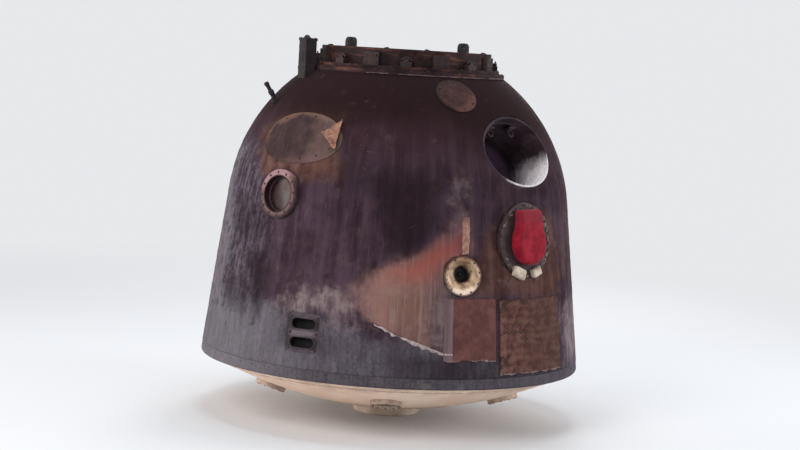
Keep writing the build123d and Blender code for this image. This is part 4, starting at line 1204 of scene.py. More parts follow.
def dress(material, *nodes):
    """Gives CAD nodes a material."""
    for node in nodes:
        NODES[node].data.materials.clear()
        NODES[node].data.materials.append(material)


# Panels, lids and flaps of the coat


def panel_skin(name, sides, levels, lift, ragged, material, node, cell=0.006, pale_side=0.0):
    """A panel of the coat: a grid with its own relief, ragged edges and edges that reach the bell."""
    (left, right), (low, high) = sides, levels
    across = max(2, int(radians(right - left) * RIM_RADIUS / cell))
    along = max(2, int((high - low) / cell))
    verts, marks = [], []
    for row in range(along + 1):
        for column in range(across + 1):
            u, v = column / across, row / along
            azimuth, height = left + (right - left) * u, low + (high - low) * v
            spot = surface_point(azimuth, height)
            tear = wear_at(spot * 24.0, 0.7) + 0.5
            height += ragged[0] * tear * (1 - v) ** 6 - ragged[1] * tear * v**6
            azimuth += ragged[2] * tear * ((1 - u) ** 8 - u**8)
            edge = max(1.0 - (height - low) / PANEL_EDGE_REACH, 0.0)
            side = 1.0 - band(azimuth, left + pale_side - 0.4, left + pale_side + 0.4) if pale_side else 0.0
            share, rise = lift(u, v, surface_point(azimuth, height))
            verts.append(surface_point(azimuth, height, rise - PALE_SIDE_STEP * side))
            marks.append((share, edge, side))
    faces = bridged(numbered(along + 1, across + 1), False)
    mesh = skin_mesh(name, verts, faces, ("relief", "edge", "side"), marks)
    tuck_edges(mesh, 0.0004, 50.0)
    piece = adopt(bpy.data.objects.new(name, mesh), HULL, material)
    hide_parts(node)


def skin_mesh(name, verts, faces, labels=(), marks=()):
    """A mesh with a layer of values for each label."""
    mesh = bpy.data.meshes.new(name)
    mesh.from_pydata([tuple(vertex) for vertex in verts], [], faces)
    for index, label in enumerate(labels):
        layer = mesh.attributes.new(label, "FLOAT", "POINT")
        layer.data.foreach_set("value", [mark[index] for mark in marks])
    return mesh


def tuck_edges(mesh, lift, crease=None):
    """Drops a skin's loose points and extrudes its open edges down to a lift over the bell."""
    tidy = bmesh.new()
    tidy.from_mesh(mesh)
    loose = [vertex for vertex in tidy.verts if not vertex.link_faces]
    if loose:
        bmesh.ops.delete(tidy, geom=loose, context="VERTS")
    border = [edge for edge in tidy.edges if edge.is_boundary]
    for vertex in bmesh.ops.extrude_edge_only(tidy, edges=border)["geom"]:
        if isinstance(vertex, bmesh.types.BMVert):
            vertex.co = onto_bell(vertex.co, lift)
    tidy.to_mesh(mesh)
    tidy.free()
    mesh.shade_smooth()
    if crease is not None:
        mesh.set_sharp_from_angle(angle=radians(crease))


def smooth_relief(u, v, point):
    """The smooth panel: worn, with fine grooves down it."""
    wear = wear_at(point * 18.0)
    groove = noise.noise(Vector((point.x * 30.0, point.y * 30.0, point.z * 2.0)))
    share = 0.6 + 0.3 * wear + 0.15 * groove
    return share, PANEL_STAND - 0.003 + 0.004 * share


def ribbed_relief(u, v, point):
    """The ribbed panel: sagging ribs of char over a mesh."""
    sag = 0.9 * noise.noise(Vector((u * 2.2, v * 2.0, 1.0))) * (1.4 - v)
    u += 0.02 * noise.noise(Vector((u * 5.0, v * 6.0, 7.0)))
    v += 0.02 * noise.noise(Vector((u * 5.0, v * 6.0, 4.0)))
    turn = v * RIB_COUNT + sag + 4.0
    rib = 1.0 - abs(2.0 * (turn - int(turn)) - 1.0)
    net = band(v - 0.35 - 0.4 * (u - 0.5), -0.1, 0.15) * band(0.75 - u, 0.0, 0.2)
    mesh = sin(u * 2 * pi * 15.0) * sin(v * 2 * pi * 20.0) * (0.25 + 0.75 * net)
    wear = wear_at(point * 15.0)
    share = 0.36 + 0.42 * band(rib, 0.2, 0.8) * (0.6 + 0.8 * wear) + 0.14 * mesh + 0.34 * wear
    return share, PANEL_STAND - 0.002 + 1.5 * RIB_RISE * (share - 0.1)


def disc_skin(name, matrix, half, lift, material, cell=0.005):
    """A round or oval skin that follows the bell over a fitting, with relief and tucked edges."""
    rings = max(3, int(max(half) / cell))
    count = max(24, int(2 * pi * max(half) / (cell * 1.4)))
    verts, faces = [], []
    for ring in range(rings + 1):
        share = ring / rings
        for turn in turns_of(count):
            place = matrix @ Vector((half[0] * share * cos(turn), half[1] * share * sin(turn), 0.0))
            verts.append(onto_bell(place, lift(share, turn, onto_bell(place))))
    for ring in range(rings):
        for index in range(count):
            following = (index + 1) % count
            near, far = ring * count, (ring + 1) * count
            faces.append((near + index, far + index, far + following, near + following))
    mesh = skin_mesh(name, verts, faces)
    tidy = bmesh.new()
    tidy.from_mesh(mesh)
    bmesh.ops.remove_doubles(tidy, verts=tidy.verts, dist=1e-5)
    tidy.to_mesh(mesh)
    tidy.free()
    tuck_edges(mesh, 0.001, 50.0)
    return adopt(bpy.data.objects.new(name, mesh), HULL, material)


def raceway_relief(u, v, point):
    """The raceway cover: rounded across, with frayed fibres."""
    wear = wear_at(point * 30.0, 0.7)
    return 0.5, 0.0135 + 0.002 * wear - 0.004 * abs(2 * u - 1) ** 4


def reserve_relief(share, turn, point):
    """The reserve lid's coat: grooved, thinner at its rim."""
    wear = wear_at(point * 16.0, 0.62)
    groove = noise.noise(Vector((point.x * 26.0, point.y * 26.0, point.z * 2.4)))
    fade = 1.0 - band(share, 0.94, 1.0)
    return RESERVE_STAND + 0.0004 + (0.0025 + 0.0022 * wear + 0.001 * groove) * fade


def vent_relief(share, turn, point):
    """A vent cover's coat: two rings with a step between them."""
    wear = wear_at(point * 20.0, 0.62)
    step = 0.0022 * (1.0 - band(abs(share - 0.72), 0.01, 0.03))
    edge = 0.0035 * band(share, 0.93, 1.0)
    return VENT_STAND - 0.0008 + 0.0018 * wear - step - edge


def torn_flap():
    """The torn piece of coat beside the reserve lid: a fibrous triangle, curled at its edges."""
    corners = [surface_point(azimuth, height) for azimuth, height in FLAP_CORNERS]
    steps = 34
    low, high, places = [], [], []
    for row in range(steps + 1):
        for column in range(steps + 1 - row):
            a, b = row / steps, column / steps
            c = 1.0 - a - b
            point = corners[0] * c + corners[1] * a + corners[2] * b
            edge = 3.0 * min(a, b, c)
            tear = wear_at(point * 38.0, 0.75)
            middle = (corners[0] + corners[1] + corners[2]) / 3
            point = point + (point - middle) * (0.1 * tear * (1.0 - band(edge, 0.0, 0.25)))
            fibre = noise.noise(Vector((point.x * 95.0, point.y * 95.0, point.z * 9.0)))
            curl = 0.016 * (1.0 - band(min(a, c) * 3.0, 0.0, 0.5)) * (0.6 + 0.8 * b)
            top = RESERVE_STAND + 0.0095 + 0.0035 * fibre + 0.004 * tear + curl
            low.append(onto_bell(point, max(RESERVE_STAND + 0.0006, top - 0.008)))
            high.append(onto_bell(point, top))
            places.append((row, column))
    index_of = {place: index for index, place in enumerate(places)}
    mould = Mould()
    faces = []
    for (row, column), index in index_of.items():
        if (row + 1, column) in index_of and (row, column + 1) in index_of:
            faces.append((index, index_of[(row + 1, column)], index_of[(row, column + 1)]))
        if (row + 1, column) in index_of and (row + 1, column - 1) in index_of:
            faces.append((index, index_of[(row + 1, column - 1)], index_of[(row + 1, column)]))
    count = len(places)
    rim = [index_of[(0, c)] for c in range(steps)] + [index_of[(r, steps - r)] for r in range(steps)]
    rim += [index_of[(r, 0)] for r in range(steps, 0, -1)]
    sides = [(a, b, b + count, a + count) for a, b in zip(rim, rim[1:] + rim[:1])]
    mould.add(low + high, faces + [tuple(i + count for i in face) for face in faces] + sides)
    piece = mould.piece("torn_flap_fibres", torn_material(), "torn_coat", crease=70.0)
    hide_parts("torn_flap")


def ragged_ribbon(name, line, width, lift, material, slot, seed=0.0, cell=0.004, low=0.001):
    """A thin broken strip of coat that follows a line of azimuths and heights."""
    points = [Vector((azimuth, height, 0.0)) for azimuth, height in line]
    path = []
    for start, end in zip(points, points[1:]):
        run = (surface_point(*start[:2]) - surface_point(*end[:2])).length
        count = max(1, int(run / cell))
        path += [start.lerp(end, step / count) for step in range(count)]
    path.append(points[-1])
    mould = Mould()
    rows = []
    for index, place in enumerate(path):
        spot = surface_point(place.x, place.y)
        ahead = path[min(index + 1, len(path) - 1)] - path[max(index - 1, 0)]
        scale = radians(1.0) * outline_radius(place.y)
        along = Vector((ahead.x * scale, ahead.y)).normalized()
        side = Vector((-along.y / scale, along.x))
        shift = Vector((seed, 0.0, 0.0))
        upper = width * max(0.0, 0.45 + 0.9 * noise.noise(spot * 26.0 + shift))
        lower = width * max(0.0, 0.45 + 0.9 * noise.noise(spot * 31.0 - shift))
        wander = 0.5 * width * noise.noise(spot * 9.0 + shift)
        row = []
        for share, rise in ((-1.0, low), (-0.9, 0.7), (-0.3, 1.0), (0.4, 0.9), (0.92, 0.6), (1.0, low)):
            reach = wander + (upper if share > 0 else lower) * share
            top = lift * rise * (0.75 + 0.5 * noise.noise(spot * 60.0)) if rise > low else low
            row.append(surface_point(place.x + side.x * reach, place.y + side.y * reach, top))
        rows.append(row)
    mould.grid(rows)
    return mould.piece(name, material, slot, crease=80.0)


CAP_CIRCLES = [(Vector((0.0, -0.017)), 0.119), (Vector((0.062, 0.146)), 0.024),
               (Vector((-0.062, 0.146)), 0.024)]
CAP_SIDES = 220


def cap_outline(turn):
    """The red cap's outline, a band round three circles, as a reach from the barrel's axis at a turn."""
    ahead = Vector((cos(turn), sin(turn)))
    best = 0.0
    for centre, radius in CAP_CIRCLES:
        along = centre.dot(ahead)
        beside = radius**2 - (centre.length_squared - along**2)
        if beside > 0.0:
            best = max(best, along + sqrt(beside))
    for (centre, radius), (other, size) in zip(CAP_CIRCLES, CAP_CIRCLES[1:] + CAP_CIRCLES[:1]):
        run = other - centre
        turn_in = asin((radius - size) / run.length)
        out = Matrix.Rotation(-(pi / 2 - turn_in), 2) @ run.normalized()
        start, end = centre + out * radius, other + out * size
        span = end - start
        cross = ahead.x * span.y - ahead.y * span.x
        if abs(cross) > 1e-9:
            reach = (start.x * span.y - start.y * span.x) / cross
            share = (start.x * ahead.y - start.y * ahead.x) / cross
            if reach > 0.0 and 0.0 <= share <= 1.0:
                best = max(best, reach)
    y = best * ahead.y
    return best - 0.012 * band(y, 0.03, 0.085) * (1.0 - band(y, 0.11, 0.155)) * abs(ahead.x) ** 0.5


def red_cap():
    """The cloth cap over the periscope: a padded cover with a hem, a seam and wrinkles."""
    bore, low, high = SCOPE_BARREL + 0.0008, SCOPE_STAND + 0.0006, SCOPE_BARREL_STAND + 0.0207
    roof = SCOPE_BARREL_STAND + 0.0008
    turns = turns_of(CAP_SIDES)
    reaches = [cap_outline(turn) for turn in turns]
    rows = [[polar(bore * 0.02, turn, roof) for turn in turns], [polar(bore, turn, roof) for turn in turns],
            [polar(bore, turn, low) for turn in turns],
            [polar(reach - 0.003, turn, low) for reach, turn in zip(reaches, turns)]]
    for inset, height in ((0.0, low + 0.002), (0.0, low + 0.007), (0.0035, low + 0.0095),
                          (0.0015, low + 0.016), (0.0, low + 0.03), (0.001, high - 0.018),
                          (0.0035, high - 0.011), (0.008, high - 0.0065), (0.0095, high - 0.0045),
                          (0.0118, high - 0.0052), (0.0165, high - 0.0016), (0.024, high)):
        row = []
        for reach, turn in zip(reaches, turns):
            place = polar(reach - inset, turn, height)
            sag = noise.noise(Vector((place.x * 26.0, place.y * 26.0, height * 34.0)))
            pleat = noise.noise(Vector((turn * 7.0, 0.0, height * 9.0)))
            pleat *= band(height, low + 0.012, high - 0.02)
            share = 0.0024 * sag + 0.003 * pleat - 0.001
            place.x += share * cos(turn)
            place.y += share * sin(turn)
            row.append(place)
        rows.append(row)
    for inner in (0.86, 0.7, 0.52, 0.34, 0.17, 0.02):
        row = []
        for reach, turn in zip(reaches, turns):
            span = (reach - 0.024) * inner
            place = polar(span, turn, high)
            fold = noise.noise(Vector((place.x * 21.0, place.y * 12.0, 3.0))) * 0.004
            dip = 0.0045 * (1.0 - band(span, 0.0, 0.09)) * (1.0 if place.y < 0.08 else 0.6)
            place.z += 0.0016 * (1.0 - inner**2) - dip + fold * 0.8 - 0.0014
            row.append(place)
        rows.append(row)
    mould = Mould()
    mould.grid(rows, True, surface_frame(*SCOPE))
    start = len(mould.verts)
    mould.faces.append(tuple(range(CAP_SIDES)))
    mould.faces.append(tuple(range(start - CAP_SIDES, start)))
    piece = mould.piece("red_cap", red_cloth_material(), "red_cover", CAP, crease=75.0)
    smooth = piece.modifiers.new("soften", "SUBSURF")
    smooth.levels = smooth.render_levels = 1
    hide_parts("periscope_cap")


# Dressing of the solids

DARK = scorched("dark_fitting", (54, 35, 35), (31, 19, 21), 18.0, (0.6, 0.8), 0.1, 0.5,
                worn=(78, 54, 48))
coat_skin("heat_coat", RING_HEIGHT + 0.0005, TOP_HEIGHT - 0.001, coat_material())
WALL_METAL = scorched("wall", (92, 98, 92), (70, 74, 70), 6.0, (0.45, 0.6), 0.1, 0.1)
dress(WALL_METAL, "side_wall", "upper_shell")
dress(base_material(), "base_dome")
dress(scorched("foot", (226, 204, 186), (196, 170, 152), 10.0, (0.5, 0.7), 0.0, 0.12,
               worn=(160, 138, 124)), "base_foot")
dress(scorched("engines", (206, 184, 166), (168, 144, 128), 16.0, (0.5, 0.7), 0.1, 0.25,
               worn=(132, 112, 100)), "landing_engines")
dress(rim_material(), "base_ring")
dress(ring_material(), "hatch_coaming", "docking_collar")
dress(DARK, "lock_pads")
BLACKENED = scorched("blackened", (34, 24, 27), (20, 13, 16), 16.0, (0.6, 0.8), 0.1, 0.4,
                     worn=(58, 46, 46))
dress(BLACKENED, "beacon_post", "antenna_stub", "lifting_lugs")
for name, azimuth, height in WINDOWS:
    dress(window_frame_material(name, surface_frame(azimuth, height)), f"window_frame_{name}")
    dress(pane_material(name, surface_frame(azimuth, height)), f"window_glass_{name}")
dress(flange_material(surface_frame(*SCOPE)), "periscope_port")
dress(painted("lens", (30, 34, 46), (14, 16, 22), 0.06), "periscope_lens")
dress(scorched("retainers", (204, 190, 172), (160, 142, 128), 30.0, (0.6, 0.8), 0.0, 0.3, 0.001),
      "retainer_blocks")
for name, azimuth, height in NOZZLES:
    dress(nozzle_material(name, surface_frame(azimuth, height)), f"nozzle_{name}")
for name, azimuth, height in THRUSTERS:
    dress(thruster_material(name, surface_frame(azimuth, height)), f"roll_thrusters_{name}")
dress(liner_material(surface_frame(*WELL)), "main_parachute_well")
RESERVE_COAT = reserve_material(surface_frame(*RESERVE))
dress(RESERVE_COAT, "reserve_parachute_lid")
dress(painted("case", (150, 152, 140), (126, 128, 118), 0.5, (178, 180, 170)),
      "reserve_parachute_case")
disc_skin("reserve_lid_coat", surface_frame(*RESERVE), (RESERVE_HALF[0] - 0.001, RESERVE_HALF[1] - 0.001),
          reserve_relief, RESERVE_COAT)
for name, azimuth, height in VENTS:
    matrix = surface_frame(azimuth, height)
    skin = disc_skin(f"vent_coat_{name}", matrix, (VENT_RADIUS, VENT_RADIUS), vent_relief,
                     vent_material(name, matrix))
    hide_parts(f"vent_cover_{name}")
torn_flap()
panel_skin(
    "raceway_coat", (RACEWAY[0] - 1.33, RACEWAY[0] + 1.33), (RACEWAY[1] - 0.106, RACEWAY[1] + 0.105),
    raceway_relief, (0.006, 0.02, 0.35), strip_material(), "cable_raceway", 0.004)
panel_skin("smooth_panel_coat", SMOOTH_PANEL[:2], SMOOTH_PANEL[2:], smooth_relief, (0.012, 0.004, 0.2),
           panel_material("smooth_coat", (102, 66, 62), (82, 51, 49), (110, 84, 80)),
           "smooth_panel", pale_side=2.9)
panel_skin("ribbed_panel_coat", RIBBED_PANEL[:2], RIBBED_PANEL[2:], ribbed_relief, (0.008, 0.004, 0.2),
           panel_material("ribbed_coat", (104, 74, 64), (76, 47, 43), (122, 96, 82), 0.7),
           "ribbed_panel", 0.0045)
PALE_TEAR = scorched("pale_tear", (176, 160, 158), (136, 118, 116), 40.0, (0.85, 0.95), 0.0, 0.25, 0.0014)
ragged_ribbon("ember_edge", EDGE_LINE, 0.014, 0.0095, PALE_TEAR, "torn_coat")
red_cap()
UMBILICAL_FRAME = surface_frame(*UMBILICAL)
dress(scorched("plate", (128, 118, 114), (92, 82, 80), 14.0, (0.45, 0.65), 0.5, 0.5,
               worn=(168, 158, 150)), "umbilical_plate")
dress(scorched("plugs", (150, 134, 112), (104, 88, 74), 22.0, (0.4, 0.6), 0.6, 0.4,
               worn=(186, 172, 150)), "umbilical_plugs")
dress(painted("lid_paint", (168, 174, 164), (146, 152, 144), 0.42, (204, 208, 200)),
      "hatch_lid")
dress(painted("wheel_metal", (176, 176, 172), (140, 140, 138), 0.3, (208, 208, 204), 0.8),
      "hatch_wheel", "hatch_hinge_ears")
dress(floor_tiles(), "cabin_floor")
dress(painted("couch_shell", (198, 200, 192), (176, 178, 170), 0.45, (222, 222, 216)),
      "couch_left", "couch_centre", "couch_right")
dress(painted("panel_paint", (132, 142, 144), (108, 118, 122), 0.5, (170, 178, 178)),
      "instrument_panel", "panel_brackets")


# Fasteners and fittings on the outside

BOLT = scorched("bolt_metal", (112, 98, 90), (74, 62, 58), 60.0, (0.45, 0.65), 0.4, 0.35)
DARK_BOLT = scorched("dark_bolt", (62, 44, 43), (36, 24, 26), 60.0, (0.6, 0.75), 0.2, 0.4)


def lifted(matrix, x=0.0, y=0.0, z=0.0, turn=0.0):
    """A fitting's frame, moved within its own plane and turned about its normal."""
    return matrix @ Matrix.Translation((x, y, z)) @ Matrix.Rotation(turn, 4, "Z")


def spoke(matrix, turn, reach, z=0.0):
    """A fitting's frame, turned about its normal and moved out along the spoke there."""
    return lifted(matrix, turn=turn) @ Matrix.Translation((reach, 0.0, z))


def bell_seat(matrix, x, y, lift):
    """A frame on the bell, under a place of a fitting's plane."""
    spot = onto_bell(matrix @ Vector((x, y, 0.0)), lift)
    return frame_at(spot, surface_normal(*place_of(spot)), matrix.to_3x3().col[0])


def corners_of(x, y):
    """The corners of a rectangle in a fitting's plane."""
    return [(-x, -y), (x, -y), (-x, y), (x, y)]


def upright(azimuth, radius, height):
    """A frame whose z is up, x level and y inwards, at a place given from the rim plane's axis."""
    return frame_at(outward(azimuth, radius, height), UP, level_at(azimuth))


def facing(azimuth, radius, height):
    """A frame that looks straight out from the axis, y up."""
    return frame_at(outward(azimuth, radius, height), radial(azimuth), level_at(azimuth))


def window_fittings(name, azimuth, height):
    """The screws of a window's frame, and the ring that holds its pane."""
    matrix = surface_frame(azimuth, height)
    mould = Mould()
    screws(mould, lifted(matrix, z=WINDOW_STAND), ring_of(12, 0.1175, 0.13), 0.0048, 0.003)
    mould.piece(f"window_screws_{name}", DARK_BOLT, "frame_metal")
    mould = Mould()
    mould.lathe(matrix,
                [(0.0978, -0.0195), (0.0885, -0.0195), (0.088, -0.0165), (0.0905, -0.0135),
                 (0.0978, -0.012)], 64)
    screws(mould, lifted(matrix, z=-0.0138), ring_of(16, 0.0942, 0.1), 0.0018, 0.0015)
    mould.piece(f"pane_ring_{name}", DARK_BOLT, "frame_metal")


def crumb(mould, matrix, reach, height, seed):
    """One lump of old sealant."""
    rows = []
    for share, rise in ((1.0, -0.001), (1.0, 0.35), (0.72, 0.85), (0.3, 1.0)):
        row = []
        for out in (polar(1.0, turn) for turn in turns_of(9)):
            uneven = 0.75 + 0.6 * noise.noise(Vector((out.x, out.y, seed)))
            row.append(out * reach * share * uneven + Vector((0.0, 0.0, height * rise)))
        rows.append(row)
    mould.grid(rows, True, matrix)
    start = len(mould.verts)
    mould.faces.append(tuple(range(start - 9, start)))


def periscope_fittings():
    """The flange's screws and the crumbs of sealant round its edge."""
    matrix = surface_frame(*SCOPE)
    heads = [(x, y) for x, y in ring_of(18, 0.1905, 0.2)
             if not -134.0 < degrees(atan2(y, x)) < -50.0]
    mould = Mould()
    screws(mould, lifted(matrix, z=SCOPE_STAND), heads, 0.005, 0.003)
    mould.piece("periscope_screws", DARK_BOLT, "flange_metal")
    dice = random.Random(5)
    mould = Mould()
    for low, high, count in ((-52.0, 22.0, 26), (-150.0, -118.0, 7), (-98.0, -86.0, 3), (118.0, 168.0, 9),
                             (40.0, 60.0, 3)):
        for _ in range(count):
            turn, reach = radians(dice.uniform(low, high)), dice.uniform(0.178, 0.2)
            spot = lifted(matrix, reach * cos(turn), reach * sin(turn), SCOPE_STAND - 0.0004, turn)
            spot = spot @ Matrix.Diagonal((0.7, 1.4, 1.0, 1.0))
            crumb(mould, spot, dice.uniform(0.005, 0.011), dice.uniform(0.003, 0.007),
                  dice.uniform(0.0, 50.0))
    old = scorched("old_sealant", (138, 118, 108), (96, 78, 74), 40.0, (0.85, 0.95), 0.0, 0.45)
    mould.piece("sealant_crumbs", old, "torn_coat", crease=75.0)


def nozzle_fittings(name, azimuth, height):
    """A scarfed inner cup with its throat off the axis, and the flange screws."""
    matrix = surface_frame(azimuth, height)
    shift = Vector((0.0125, 0.011, 0.0))
    rows = []
    for share, radius, depth in ((0.0, 0.0858, 0.0138), (0.0, 0.0835, 0.0132), (0.1, 0.078, 0.006),
                                 (0.32, 0.067, -0.006), (0.62, 0.055, -0.018), (0.86, 0.046, -0.028),
                                 (1.0, 0.041, -0.036), (1.0, 0.039, -0.05), (1.0, 0.037, -0.07)):
        rows.append([shift * share + polar(radius, turn, depth) for turn in turns_of(64)])
    mould = Mould()
    mould.grid(rows, True, matrix)
    start = len(mould.verts)
    mould.faces.append(tuple(range(start - 64, start)))
    plate = lifted(matrix, shift.x, shift.y, -0.07)
    mould.lathe(plate, [(0.014, 0.0), (0.014, 0.006), (0.009, 0.01), (0.0, 0.01)], 24)
    metal = nozzle_material(f"cup_{name}", matrix, (shift.x, shift.y))
    mould.piece(f"nozzle_cup_{name}", metal, "nozzle_metal")
    mould = Mould()
    screws(mould, lifted(matrix, z=NOZZLE_STAND), ring_of(10, 0.0975, 0.2), 0.0042, 0.0026)
    mould.piece(f"nozzle_screws_{name}", BOLT, "nozzle_metal")


def thruster_fittings(name, azimuth, height):
    """Screws in the block's corners, and a low lip round each mouth."""
    matrix = surface_frame(azimuth, height)
    width, length, _ = THRUSTER_SIZE
    mould = Mould()
    for side in (-1, 1):
        for y in (-length / 2 + 0.02, 0.0, length / 2 - 0.02):
            seat = bell_seat(matrix, side * (width / 2 - 0.014), y, 0.0002)
            screws(mould, seat, [(0.0, 0.0)], 0.0055, 0.0032)
    mould.piece(f"thruster_screws_{name}", DARK_BOLT, "thruster_metal")
    mould = Mould()
    half, radius = (SLOT_SIZE[0] - SLOT_SIZE[1]) / 2, SLOT_SIZE[1] / 2
    for offset in (-SLOT_PITCH / 2, SLOT_PITCH / 2):
        rows = []
        for grow, rise in ((0.0, -0.012), (0.0, 0.003), (0.003, 0.0048), (0.008, 0.004), (0.011, -0.001)):
            row = []
            for turn in turns_of(48):
                centre = half if cos(turn) > 1e-6 else -half if cos(turn) < -1e-6 else 0.0
                x, y = centre + (radius + grow) * cos(turn), offset + (radius + grow) * sin(turn)
                row.append(onto_bell(matrix @ Vector((x, y, 0.0)), rise))
            rows.append(row)
        mould.grid(rows, True)
    mould.piece(f"thruster_lips_{name}", thruster_material(f"lips_{name}", matrix), "thruster_metal")


def plugs_on_bell(mould, matrix, places, lift, radius, height=0.0025):
    """Hollow plugs on the skin of a lid that follows the bell."""
    for index, (x, y) in enumerate(places):
        mould.lathe(lifted(bell_seat(matrix, x, y, lift), turn=index),
                    [(radius * 1.2, -0.001), (radius, height), (radius * 0.5, height),
                     (radius * 0.45, height * 0.4), (0.0, height * 0.4)], 14)


def well_fittings():
    """Rings, rivets, a floor pot and two strap lugs inside the open container."""
    matrix = surface_frame(*WELL)
    a, b = WELL_HALF[0] - 0.01, WELL_HALF[1] - 0.01
    mould = Mould()
    for depth in (-0.075, -0.17, -0.265):
        mould.tube([matrix @ Vector(((a - 0.003) * cos(turn), (b - 0.003) * sin(turn), depth))
                    for turn in turns_of(72)], 0.0045, 8, True)
    for turn in turns_of(40):
        inward = Vector((-cos(turn) / a, -sin(turn) / b, 0.0)).normalized()
        seat = frame_at(matrix @ Vector((a * cos(turn), b * sin(turn), -0.045)), matrix.to_3x3() @ inward,
                        matrix.to_3x3().col[2])
        mould.lathe(seat, [(0.0045, -0.001), (0.004, 0.0018), (0.0, 0.0026)], 8)
    floor = lifted(matrix, z=-0.39)
    pot = [(0.075, 0.0), (0.075, 0.018), (0.066, 0.024), (0.03, 0.024), (0.028, 0.04), (0.0, 0.04)]
    mould.lathe(floor, pot, 40)
    for index in range(4):
        mould.box(spoke(floor, index * pi / 2, 0.125), (0.1, 0.01, 0.014))
    screws(mould, floor, ring_of(10, 0.16), 0.006, 0.004)
    for x in (-0.09, 0.09):
        y = b * sqrt(1.0 - (x / a) ** 2)
        seat = lifted(matrix, x, y - 0.012, -0.1)
        mould.box(seat @ Matrix.Rotation(pi / 2, 4, "X"), (0.05, 0.05, 0.012))
        mould.tube([seat @ Vector((0.02 * cos(turn), -0.03 + 0.02 * sin(turn), 0.0))
                    for turn in turns_of(20)], 0.005, 8, True)
    mould.piece("well_fittings", NODES["main_parachute_well"].data.materials[0], "well_liner")


def ring_fittings():
    """Bolts, latch blocks and the harness in the trough of the hatch ring."""
    mould = Mould()
    flange = upright(0.0, 0.0, FLANGE_TOP)
    screws(mould, flange, ring_of(36, (FLANGE_RADIUS + STEP_RADIUS) / 2 + 0.002, 0.05), 0.0055, 0.005)
    step = lifted(flange, z=STEP_TOP - 0.0003 - FLANGE_TOP)
    screws(mould, step, ring_of(40, STEP_RADIUS - 0.0105), 0.0045, 0.0045)
    for index in range(12):
        if (15 + 30 * index) % 90 != 45:
            turn, reach = radians(15.0 + 30.0 * index), COLLAR_RADIUS - COLLAR_WALL / 2
            seat = lifted(flange, reach * cos(turn), reach * sin(turn), COLLAR_TOP - FLANGE_TOP)
            screws(mould, seat, [(0.0, 0.0)], 0.009, 0.007)
    for index in range(8):
        for x in (-0.03, 0.03):
            for rise in (0.018, 0.056):
                seat = facing(22.5 + 45.0 * index, COLLAR_RADIUS + 0.026, STEP_TOP + rise)
                screws(mould, lifted(seat, x), [(0.0, 0.0)], 0.005, 0.004)
    mould.piece("ring_bolts", DARK_BOLT, "ring_metal")
    mould = Mould()
    for index in range(8):
        seat = upright(45.0 * index, COLLAR_RADIUS + 0.021, STEP_TOP - 0.0003)
        mould.box(seat, (0.062, 0.034, 0.03), 0.003)
        mould.box(lifted(seat, z=0.03), (0.03, 0.026, 0.016), 0.003)
        hook = ((-0.03, 0.036), (-0.014, 0.05), (0.0, 0.054), (0.014, 0.05), (0.03, 0.036))
        mould.tube([seat @ Vector((x, -0.004, z)) for x, z in hook], 0.0045, 8)
    mould.piece("ring_latches", DARK, "dark_fitting")
    mould = Mould()
    for offset, rise in ((0.0, 0.0095), (0.021, 0.0075)):
        mould.tube([polar(HARNESS_RADIUS + offset + 0.003 * sin(5 * turn), turn, FLANGE_TOP + rise)
                    for turn in turns_of(96)], rise - 0.0005, 10, True)
    sleeve = scorched("harness", (92, 80, 72), (56, 46, 44), 90.0, (0.7, 0.85), 0.0, 0.4)
    mould.piece("ring_harness", sleeve, "dark_fitting")
    mould = Mould()
    for index in range(14):
        seat = upright(index * 360.0 / 14 + 6.0, HARNESS_RADIUS + 0.01, FLANGE_TOP)
        mould.box(seat, (0.014, 0.062, 0.0215), 0.002)
    for azimuth in (28.0, 118.0, 208.0, 298.0):
        seat = upright(azimuth, HARNESS_RADIUS + 0.008, FLANGE_TOP + 0.02)
        mould.box(seat, (0.07, 0.05, 0.03), 0.003)
        screws(mould, lifted(seat, z=0.03), corners_of(0.026, 0.016), 0.003, 0.002)
        seat = facing(azimuth, HARNESS_RADIUS - 0.017, FLANGE_TOP + 0.036) @ Matrix.Rotation(pi, 4, "Y")
        mould.lathe(seat, [(0.011, 0.0), (0.011, 0.012), (0.008, 0.014), (0.0, 0.014)], 18)
    mould.piece("harness_clips", BOLT, "dark_fitting")


